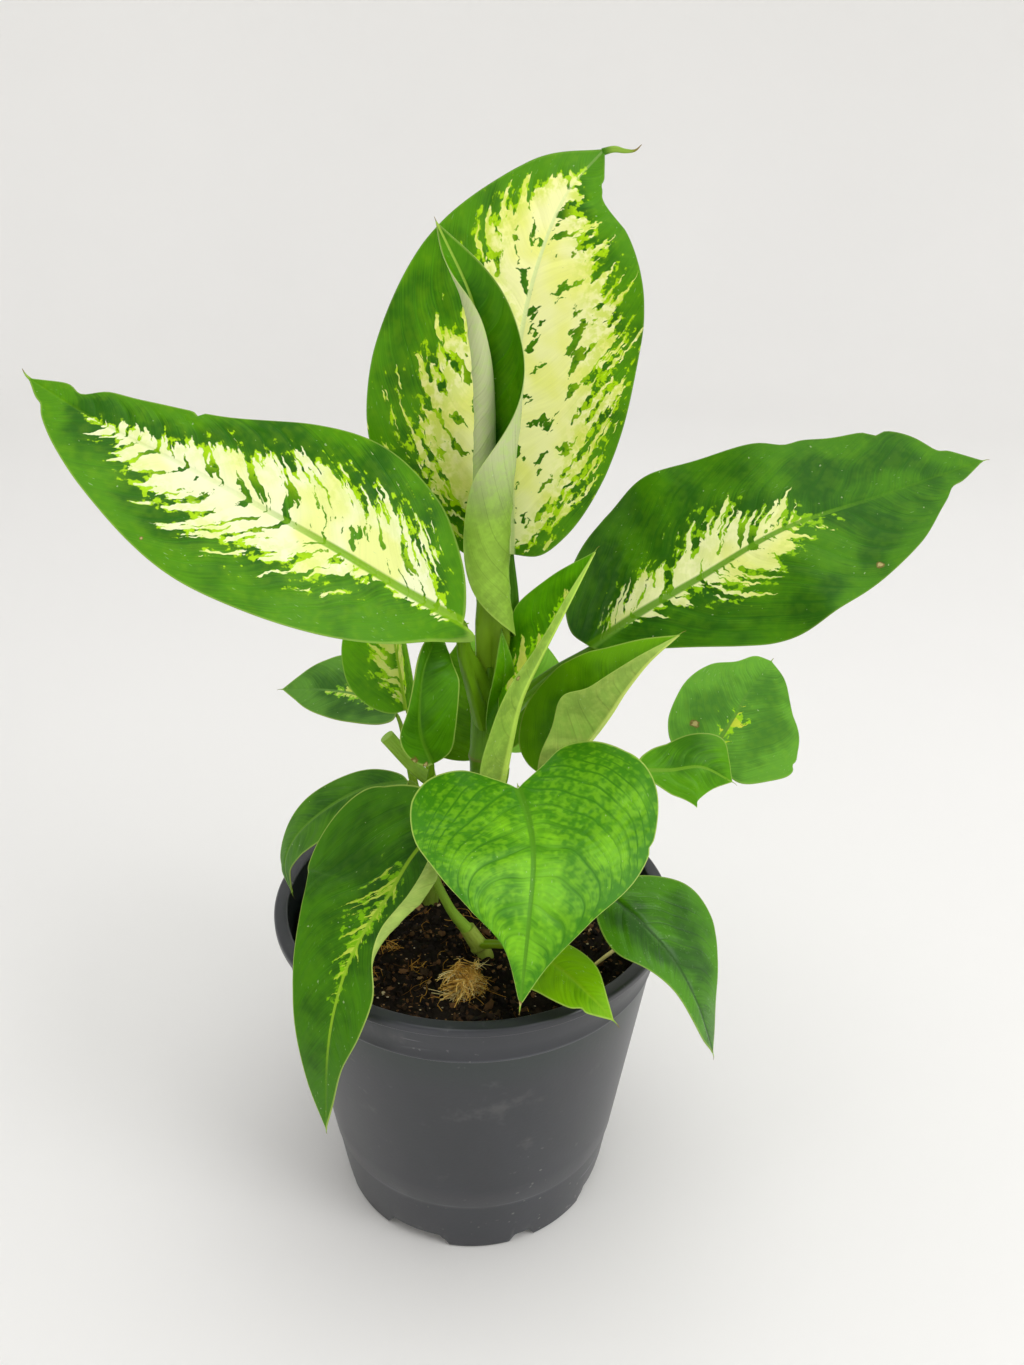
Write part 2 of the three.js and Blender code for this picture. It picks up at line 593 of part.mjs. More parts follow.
// The mix fills the pot and is grown around each stem.
function soilGeometry() {
  const rings = 7;
  const sides = POT_SIDES / 2;
  const bottom = FLOOR_Z + WALL + GAP;
  // Slim enough to clear the inner wall, which is flat between the corners of its sides.
  const fit = (z) => (innerRadius(z) - GAP) * Math.cos(Math.PI / POT_SIDES);
  const vertices = [[0, 0, SOIL_TOP + swell(0, 0)]];
  for (let ring = 1; ring <= rings; ring++) {
    const radius = (fit(SOIL_TOP - 2) * ring) / rings;
    for (let k = 0; k < sides; k++) {
      const turn = (2 * Math.PI * k) / sides;
      const x = radius * Math.cos(turn);
      const y = radius * Math.sin(turn);
      vertices.push([x, y, SOIL_TOP + swell(x, y) - (ring === rings ? 1 : 0)]);
    }
  }
  for (let k = 0; k < sides; k++) {
    const turn = (2 * Math.PI * k) / sides;
    vertices.push([fit(bottom) * Math.cos(turn), fit(bottom) * Math.sin(turn), bottom]);
  }
  vertices.push([0, 0, bottom]);
  const last = vertices.length - 1;
  const triangles = [];
  for (let k = 0; k < sides; k++) {
    const next = (k + 1) % sides;
    triangles.push(0, 1 + k, 1 + next);
    for (let ring = 0; ring < rings; ring++) {
      const a = 1 + ring * sides;
      const b = a + sides;
      triangles.push(a + k, b + k, b + next, a + k, b + next, a + next);
    }
    const lowest = 1 + rings * sides;
    triangles.push(lowest + k, last, lowest + next);
  }
  return geometryOf(vertices, triangles);
}

// A lumpy ball of fibre, lying on the mix.
function tuftGeometry() {
  const ball = new THREE.SphereGeometry(1, 16, 10);
  const points = ball.attributes.position;
  for (let i = 0; i < points.count; i++) {
    const point = new THREE.Vector3().fromBufferAttribute(points, i);
    const lump = 1 + 0.06 * Math.sin(9 * point.x) * Math.cos(8 * point.y + 5 * point.z);
    points.setXYZ(i, ...point.multiplyScalar(lump).toArray());
  }
  const [x, y] = TUFT.centre;
  return ball.scale(...TUFT.radii).translate(x, y, SOIL_TOP + swell(x, y) + 2);
}

// ---------------------------------------------------------------- the assembly

const plant = new THREE.Group();

function addMesh(name, geometry, color, roughness) {
  const material = new THREE.MeshStandardMaterial({ color, roughness, metalness: 0 });
  const mesh = new THREE.Mesh(geometry, material);
  mesh.name = name;
  plant.add(mesh);
}

// A stem as a solid, grown by an amount all round.
function stemSolid({ path, radius }, extra = 0) {
  const [x, y, z] = path[0];
  const longer = [[x, y, z - extra], ...path.slice(1)];
  const top = longer[longer.length - 1];
  longer[longer.length - 1] = [top[0], top[1], top[2] + extra];
  return solidOf(taperedTube(longer, radius.map((r) => r + extra), 10, 10));
}

// The largest piece of a solid, without crumbs that a cut has left.
function mainPiece(solid) {
  const pieces = solid.decompose();
  return pieces.reduce((best, piece) => (piece.volume() > best.volume() ? piece : best));
}

const grownStems = Object.values(STEMS).map((stem) => stemSolid(stem, GAP));
const clearOfStems = (solid) => mainPiece(grownStems.reduce((rest, stem) => rest.subtract(stem), solid));

addMesh("pot", potGeometry(), 0x464a50, 0.55);

const soil = clearOfStems(solidOf(soilGeometry()));
addMesh("potting_mix", geometryFrom(soil), 0x2a1c14, 0.95);
const tuft = mainPiece(solidOf(tuftGeometry()).subtract(soil.translate([0, 0, GAP])));
addMesh("fibre_tuft", geometryFrom(tuft), 0xa98a5c, 0.9);

for (const [name, stem] of Object.entries(STEMS)) {
  addMesh(name, geometryFrom(stemSolid(stem)), 0x6a9a3a, 0.5);
}
addMesh("cut_petiole", geometryFrom(clearOfStems(stemSolid(CUT_PETIOLE))), 0x8fbf45, 0.5);

for (const [name, leaf] of Object.entries(LEAVES)) {
  const { rows, columns, stations } = LARGE_LEAVES.includes(name) ? LARGE_LEAF : SMALL_LEAF;
  const blade = solidOf(bladeGeometry(leaf, rows, columns));
  const whole = blade.add(solidOf(petioleGeometry(leaf, stations)));
  addMesh(name, geometryFrom(clearOfStems(whole)), 0x3a8a24, 0.4);
}

// Put the origin at the bottom centre of the whole plant's box.
const box = new THREE.Box3().setFromObject(plant);
const middle = box.getCenter(new THREE.Vector3());
for (const mesh of plant.children) {
  mesh.geometry.translate(-middle.x, -middle.y, -box.min.z);
}

export default plant;
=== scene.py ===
import json
import math
import random

import bmesh
import bpy
import numpy as np
from mathutils import Matrix, Vector, noise


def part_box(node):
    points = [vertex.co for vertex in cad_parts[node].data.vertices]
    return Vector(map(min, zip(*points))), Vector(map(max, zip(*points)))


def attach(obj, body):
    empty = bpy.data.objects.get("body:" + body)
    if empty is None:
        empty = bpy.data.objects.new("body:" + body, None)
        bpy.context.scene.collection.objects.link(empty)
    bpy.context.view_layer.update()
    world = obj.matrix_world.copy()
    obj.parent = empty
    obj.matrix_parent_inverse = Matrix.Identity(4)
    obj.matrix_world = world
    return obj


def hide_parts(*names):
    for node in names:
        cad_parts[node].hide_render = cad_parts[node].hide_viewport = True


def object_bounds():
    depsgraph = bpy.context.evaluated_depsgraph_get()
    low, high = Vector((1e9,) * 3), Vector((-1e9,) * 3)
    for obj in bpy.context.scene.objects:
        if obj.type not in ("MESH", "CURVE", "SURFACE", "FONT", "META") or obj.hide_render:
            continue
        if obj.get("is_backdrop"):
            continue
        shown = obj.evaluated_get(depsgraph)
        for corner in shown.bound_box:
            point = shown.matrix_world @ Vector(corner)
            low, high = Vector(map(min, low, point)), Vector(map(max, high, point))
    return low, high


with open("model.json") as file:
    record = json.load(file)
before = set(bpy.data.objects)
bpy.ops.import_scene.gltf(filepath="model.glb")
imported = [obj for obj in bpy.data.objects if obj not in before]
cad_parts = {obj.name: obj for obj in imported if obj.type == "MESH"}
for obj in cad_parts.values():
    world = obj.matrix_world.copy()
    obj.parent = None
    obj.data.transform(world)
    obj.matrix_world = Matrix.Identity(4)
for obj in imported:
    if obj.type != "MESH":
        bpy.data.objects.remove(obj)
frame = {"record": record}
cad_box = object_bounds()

# Looks for a young dieffenbachia in its nursery pot. The tables are in millimetres from the centre of the
# pot's foot, with the plant's front towards -Y, and placed() brings them into the model's frame in metres.

MM = 0.001

# ---- camera and sizes

PHOTO_HEIGHT = 1365  # pixels
FOCAL_LENGTH = 1100  # pixels, worked out with the camera's place from the pot's rim and foot
CAMERA_AT = (11, -278, 305)
CAMERA_PITCH = 25.2  # degrees below the horizon
CAMERA_ROLL = 0.8
SENSOR = 36  # mm, along the frame's long side

RIM_RADIUS = 60
POT_HEIGHT = 103
FOOT_RADIUS = 43
NECK_RADIUS = 58
WALL = 1.3
LIP_WIDTH = 4.1
LIP_HEIGHT = 2.5
BAND_STEP = 0.3
LOWER_STEP_Z = 21.5
UPPER_STEP_Z = 88.4
FLOOR_Z = 5
FOOT_RING_WIDTH = 2.4
NOTCHES = (  # angle of the first of four, widths at the bottom and top, height
    (-112.5, 22, 16, 4.5),
    (-67.5, 8, 5, 3.5),
)
DRAIN_HOLES, DRAIN_HOLE_RADIUS, DRAIN_CIRCLE_RADIUS = 8, 3.5, 29

SOIL_TOP = 95.5
SOIL_RADIUS = 54.2
SOIL_BOTTOM = 6.6
TUFT_AT, TUFT_RADII = (-1, -34), (5.9, 5.0, 4.8)

# ---- the plant's tables


def scaled(outline, half):
    return [(along, across * half) for along, across in outline]


def ovate(half):
    outline = [(-0.01, 0.3), (0.06, 0.66), (0.2, 0.93), (0.38, 1), (0.56, 0.92), (0.74, 0.66), (0.88, 0.31)]
    return scaled(outline, half)


def lance(half):
    outline = [(0.03, 0.36), (0.12, 0.7), (0.27, 0.94), (0.42, 1), (0.6, 0.9), (0.75, 0.65), (0.89, 0.3)]
    return scaled(outline, half)


# Stems: path, radius along it, and the shares of the path where old leaves left a ring.
STEMS = {
    "main_stem": (
        [(5, 5, 72), (4, 5, 110), (3, 5, 145), (4, 5, 178)], (4.6, 4.2, 4, 3.8), (0.35, 0.55, 0.72, 0.86),
    ),
    "front_shoot": ([(6, -18, 76), (4, -19, 94), (-1, -19, 104)], (2.6, 3, 2.2), (0.75,)),
    "left_shoot": ([(-13, 6, 74), (-14, 5, 105), (-14, 4, 134)], (3, 2.6, 2.2), (0.5, 0.66, 0.82)),
    "right_shoot": ([(22, 2, 74), (22, 1, 105), (21, 0, 136)], (3, 2.6, 2.2), (0.5, 0.68, 0.84)),
    "back_shoot": ([(6, 26, 74), (6, 27, 105), (6, 28, 130)], (3, 2.6, 2.2), (0.6, 0.82)),
}
STEM_COLOURS = {  # at the foot and the top
    "main_stem": ((104, 142, 30), (86, 134, 8)),
    "front_shoot": ((148, 156, 66), (164, 186, 74)),
    "others": ((132, 152, 60), (104, 148, 28)),
}
CUT_PETIOLE = (
    [(-14, 5, 108), (-10, 7, 124), (-12, 6, 137), (-17, 4, 144), (-25, 3, 155)], (2.2, 2.1, 2.0, 2.1, 2.2),
)


def leaf(left, right, rib, face, petiole, fold=((0, 0), (0, 0)), curl=((0, 0), (0, 0)), wave=(0.4, 2)):
    """A leaf: the outline of each flattened half as [share of length, mm across] between the base and the
    tip, the midrib, the way the upper side looks at the base and the tip, the stalk's path and radii, the
    degrees that each half rises at the midrib (fold) and on to the margin (curl), each at the base and the
    tip, and the size and number of the margin's waves."""
    margin = [[(0, 0), *half, (1, 0)] for half in (left, right)]
    return dict(margin=margin, rib=rib, face=face, petiole=petiole, fold=fold, curl=curl, wave=wave)


LEAVES = {
    "crown_leaf_back": leaf(
        [(-0.01, 9), (0.05, 19), (0.15, 31), (0.27, 38), (0.4, 38.5), (0.56, 34), (0.69, 27),
         (0.82, 16), (0.93, 6)],
        [(0, 8), (0.05, 15), (0.14, 22), (0.27, 28), (0.43, 31), (0.6, 31), (0.74, 26),
         (0.85, 18), (0.91, 9)],
        [(10, 14, 207), (10, 15, 230), (11, 19, 256), (15, 24, 278), (23, 31, 298), (33, 38, 309)],
        [(0.05, -1, 0.2), (0.1, -1, 0.2)],
        ([(4, 7, 166), (9, 11, 180), (11, 13, 192), (10, 14, 207)], (2.6, 2.2, 1.8, 1.5)),
        ((5, 5), (10, 10)), ((10, 10), (10, 10)), (1, 3),
    ),
    "crown_leaf_left": leaf(
        [(-0.03, 1.2), (-0.036, 2.8), (0, 5.6), (0.06, 9), (0.16, 16), (0.29, 22.5), (0.42, 26.5),
         (0.53, 27), (0.64, 24), (0.75, 18), (0.85, 11), (0.93, 5)],
        [(0.01, 4), (0.04, 11), (0.09, 18), (0.15, 24), (0.23, 27.5), (0.33, 28.5), (0.46, 25),
         (0.63, 15), (0.76, 10.5), (0.89, 6.5)],
        [(-2, -8, 195), (-18, -14, 207), (-34, -18, 219), (-65, -18, 237), (-90, -12, 248), (-109, -2, 256)],
        [(0.15, -0.8, 0.6), (0.1, -0.6, 0.75)],
        ([(4, 3, 161), (1, 0, 173), (-2, -4, 185), (-2, -8, 195)], (4, 3.5, 2.8, 1.9)),
        ((5, 5), (5, 5)), ((0, 0), (10, 10)), (1, 3),
    ),
    "crown_leaf_right": leaf(
        [(-0.04, 8), (-0.03, 18), (0.01, 25), (0.09, 30), (0.23, 34), (0.38, 33.4), (0.54, 27),
         (0.7, 22), (0.86, 16.5), (0.93, 8)],
        [(0.03, 3.4), (0.12, 9), (0.21, 15), (0.31, 22.2), (0.39, 26.8), (0.49, 29), (0.63, 25),
         (0.76, 18), (0.87, 8)],
        [(33, 10, 181), (46, 4, 194), (61, 2, 205), (82, 2, 219), (107, 6, 227), (136, 14, 235)],
        [(-0.1, -0.5, 0.85), (-0.1, -0.5, 0.85)],
        ([(4, 5, 152), (12, 13, 160), (23, 15, 170), (33, 10, 181)], (2.4, 2.2, 2, 1.7)),
        ((10, 10), (-10, 0)), ((5, 5), (-10, 0)), (1.4, 4),
    ),
    "rolled_new_leaf": leaf(
        [(0.04, 7), (0.15, 11), (0.35, 13), (0.6, 12), (0.8, 8)],
        [(0.02, 9), (0.1, 18), (0.22, 26), (0.36, 27), (0.46, 26), (0.62, 19), (0.78, 10), (0.9, 4.5)],
        [(7, 5, 185), (4, 7, 202), (3, 8, 227), (3, 7, 248), (2, 5, 263), (0, 3, 275), (-8, -3, 293)],
        [(0, -1, 0), (0.1, -1, 0.2)],
        ([(5, 4, 174), (5.3, 3.2, 181), (5.6, 1.6, 190), (5.4, 1, 200), (4.8, 1, 212)],
         (3.6, 4.0, 4.4, 4.3, 3.4)),
        curl=((230, 330), (300, 90)), wave=(0, 1),
    ),
    "front_heart_leaf": leaf(
        [(-0.08, 8), (-0.16, 16), (-0.13, 24), (0, 31), (0.18, 34.5), (0.36, 31.5), (0.53, 25),
         (0.68, 15), (0.84, 6)],
        [(-0.08, 6), (-0.16, 14), (-0.13, 23), (0, 29), (0.18, 30.5), (0.38, 28), (0.54, 23),
         (0.68, 14), (0.8, 5.5)],
        [(13, -20, 152), (16, -34, 150), (17, -48, 148), (16, -62, 141), (14, -74, 124)],
        [(-0.05, -0.2, 1), (0, -0.4, 1)],
        ([(21, 0, 126), (19, -7, 138), (16, -13, 147), (13, -20, 151)], (1.7, 1.5, 1.4, 1.3)),
        ((12, 0), (4, 0)), ((0, -10), (-5, -10)), (0.6, 2),
    ),
    "left_drooping_leaf": leaf(
        [(-0.02, 9), (0.06, 15), (0.17, 17), (0.3, 12), (0.42, 8.5), (0.54, 10), (0.64, 8.5),
         (0.76, 4.5), (0.9, 2)],
        [(-0.06, 9), (-0.04, 19), (0.03, 28), (0.11, 31), (0.22, 29), (0.36, 22), (0.54, 15),
         (0.73, 9.5), (0.88, 5)],
        [(-8, -20, 141), (-16, -28, 134), (-21, -38, 129), (-26, -47, 125), (-30, -54, 119), (-33, -60, 110),
         (-35, -63, 98), (-37, -63, 71)],
        [(-0.3, -0.3, 1), (-0.4, -1, 0.3)],
        ([(0, -19, 102), (-6, -20, 112), (-11, -19, 127), (-8, -20, 141)], (1.7, 1.2, 1.1, 1.1)),
        ((-10, 0), (0, 0)), ((40, 0), (0, 0)), (0.6, 3),
    ),
    "left_rear_drooping_leaf": leaf(
        lance(10), lance(9),
        [(-20, 12, 135), (-34, 8, 134), (-46, 4, 128), (-54, 2, 120), (-57, 0, 112), (-55, -3, 104)],
        [(-0.2, -0.3, 1), (-0.9, -0.5, 0.3)],
        ([(-14, 4, 126), (-16, 8, 132), (-20, 12, 135)], (1.6, 1.4, 1.2)),
    ),
    "right_drooping_leaf": leaf(
        [(-0.06, 4), (-0.02, 9), (0.08, 15), (0.22, 20), (0.38, 19.5), (0.58, 13.5), (0.78, 8),
         (0.91, 4)],
        [(-0.02, 4), (0.05, 8), (0.18, 11.5), (0.33, 12.5), (0.48, 9), (0.63, 5.5), (0.78, 4),
         (0.9, 2.5)],
        [(39, -28, 123), (46, -36, 121), (54, -46, 117), (60, -54, 109), (65, -58, 95)],
        [(0, -0.3, 1), (0.8, -0.5, 0.5)],
        ([(22, 1, 104), (27, -8, 115), (33, -20, 122), (39, -28, 123)], (1.6, 1.4, 1.3, 1.2)),
    ),
    "right_small_leaf": leaf(
        lance(8), lance(10),
        [(14, -34, 110), (25, -46, 112), (32, -56, 112), (38, -62, 109)],
        [(0, -0.3, 1), (0, -0.3, 1)],
        ([(2.5, -19, 98), (8, -25, 103), (14, -34, 110)], (1.4, 1.2, 1.1)), wave=(0.3, 2),
    ),
    "left_spotted_leaf": leaf(
        ovate(17), ovate(14),
        [(-21, 22, 154), (-23, 24, 168), (-26, 30, 180), (-32, 40, 193)],
        [(0, -1, 0.3), (0, -1, 0.3)],
        ([(-14, 5, 120), (-13, 14, 134), (-17, 20, 146), (-21, 22, 154)], (1.6, 1.3, 1.2, 1.1)),
        ((0, 0), (60, 60)), ((0, 0), (20, 20)),
    ),
    "far_left_leaf": leaf(
        ovate(11), ovate(14),
        [(-26, 38, 145), (-38, 42, 149), (-52, 46, 149), (-65, 50, 147)],
        [(0, -0.4, 1), (0, -0.6, 0.8)],
        ([(-14, 5, 113), (-20, 22, 131), (-26, 38, 145)], (1.6, 1.3, 1.2)),
        ((0, 0), (10, 10)),
    ),
    "left_upright_leaf": leaf(
        [(0.02, 2), (0.18, 6), (0.28, 6.5), (0.4, 4), (0.6, 2.5), (0.8, 3)],
        [(0.05, 6), (0.2, 9.5), (0.5, 10.5), (0.7, 9.5), (0.82, 6)],
        [(-11, -8, 152), (-14, -10, 163), (-14, -10, 173), (-13, -8, 181), (-11, -3, 186), (-9, 4, 189)],
        [(0.3, -1, 0.2), (0.3, -1, 0.2)],
        ([(-14, 4, 132), (-13, -3, 140), (-11, -8, 152)], (1.5, 1.3, 1.2)),
        ((20, 20), (10, 10)),
    ),
    "centre_folded_leaf": leaf(
        [(0.1, 4), (0.3, 6), (0.42, 9), (0.55, 13), (0.7, 15), (0.85, 10)],
        [(0, 4), (0.06, 7.5), (0.16, 8.5), (0.3, 7.5), (0.45, 5), (0.6, 3), (0.8, 2)],
        [(8, -8, 146), (10, -9, 159), (13, -8, 173), (18, -4, 183), (24, 0, 194), (33, 8, 210)],
        [(-1, -0.1, 0.3), (-1, -0.1, 0.3)],
        ([(4, 5, 126), (8, -3, 135), (8, -8, 146)], (1.7, 1.5, 1.3)),
        ((40, 40), (50, 50)), ((0, 0), (10, 10)), (0.3, 2),
    ),
    "right_folded_leaf": leaf(
        [(-0.05, 9), (-0.02, 15), (0.1, 19.5), (0.25, 21.5), (0.42, 21), (0.58, 17), (0.74, 10.5),
         (0.88, 5)],
        [(0, 4), (0.1, 8), (0.3, 11.5), (0.45, 13.6), (0.52, 13), (0.6, 9), (0.7, 6.5), (0.85, 3)],
        [(23, 1, 142), (32, -5, 158), (37, -10, 169), (41, -14, 179), (46, -18, 189), (53, -21, 198)],
        [(-0.7, -0.1, 0.6), (-0.6, -0.2, 0.8)],
        ([(21, 0, 132), (22, 1, 137), (23, 2, 142)], (1.7, 1.5, 1.3)),
        ((50, 50), (80, 80)), ((0, 0), (20, 20)),
    ),
    "far_right_leaf": leaf(
        [(-0.16, 5), (-0.22, 11), (-0.08, 16), (0.16, 18.5), (0.44, 18.5), (0.62, 15), (0.78, 9),
         (0.95, 5)],
        [(-0.16, 5), (-0.2, 12), (-0.06, 19), (0.12, 24), (0.35, 22), (0.56, 17.5), (0.75, 13),
         (0.92, 7)],
        [(75, 24, 143), (82, 34, 148), (88, 44, 152), (97, 56, 157)],
        [(-0.1, -0.8, 0.6), (-0.1, -0.8, 0.6)],
        ([(22, 1, 113), (35, 8, 129), (53, 15, 139), (75, 24, 143)], (1.6, 1.4, 1.3, 1.2)), wave=(0.5, 2),
    ),
    "right_folded_small_leaf": leaf(
        [(0, 3), (0.12, 6), (0.32, 8), (0.55, 9.5), (0.75, 10), (0.86, 6)],
        [(0, 2), (0.15, 4), (0.35, 8), (0.55, 12), (0.7, 9), (0.85, 4)],
        [(48, -4, 149), (57, -2, 148), (66, 0, 148), (76, 2, 142)],
        [(0, -0.2, 1), (0, -0.2, 1)],
        ([(21.5, 0, 120), (30, -4, 134), (39, -5, 145), (48, -4, 149)], (1.5, 1.3, 1.2, 1.1)),
        ((30, 50), (-50, -50)), wave=(0.3, 2),
    ),
    "back_pale_leaf": leaf(
        ovate(22), ovate(22),
        [(6, 46, 128), (8, 50, 142), (9, 54, 158), (10, 60, 172)],
        [(0, -1, 0.2), (0, -1, 0.3)],
        ([(6, 28, 114), (6, 38, 120), (6, 46, 128)], (1.7, 1.4, 1.3)),
    ),
    "back_dark_leaf": leaf(
        ovate(18), ovate(18),
        [(2, 24, 137), (0, 24, 147), (-2, 26, 159), (-6, 32, 172)],
        [(0, -1, 0.2), (0, -1, 0.3)],
        ([(6, 28, 127), (4, 26, 132), (2, 24, 137)], (1.6, 1.4, 1.3)),
    ),
}
LARGE_LEAVES = tuple(LEAVES)[:6]
LARGE_GRID, SMALL_GRID = (150, 56), (90, 36)  # rows and columns of a blade

# ---- how each leaf looks

NO_CREAM = [(0, -1), (1, -1)]


def look(deep, green, lime, rib, cream=(190, 220, 120), under=(150, 190, 70), under_tip=None,
         rib_width=(1.2, 0.3), rib_until=1.3, veins=9, vein_tone=0.12, sweep=(0.7, 0.7), quilt=0.1,
         cream_left=NO_CREAM, cream_right=NO_CREAM, splash=(0.3, 0.1, 0.45), solid=0.3, tinge=0.4,
         cells=0.08, cell_size=1, margin_light=0.14, base_light=0, stalk=(120, 165, 20), edge=0.5,
         gloss=0.4, sheen=0.13, scars=()):
    """How a leaf is coloured. The colours are sRGB, 0 to 255: deep and green are the upper side's two
    greens, lime its bright one, and under_tip is what the lower side turns into towards the
    tip, painted light that makes that side paler there.

    rib_width is in mm at the base and the tip, and the midrib fades at the share rib_until. vein_tone is how
    much lighter the side veins are, sweep how far they lean and bend to the tip, and quilt how far the blade
    rises between them, in mm. The cream lists give, by share of the length, how far across each half the
    cream centre reaches. splash is how fine its edge is across and along the veins, per mm, and how ragged;
    solid is how few green islands it has, and tinge how much of it is yellowish. cells are light spots
    between the veins. margin_light and base_light are painted light and shade: they make
    the margin and the base lighter where they are positive and darker where they are negative. gloss is the
    roughness, and sheen the specular level. scars are brown spots: [share, mm across, mm radius]."""
    return dict(locals())


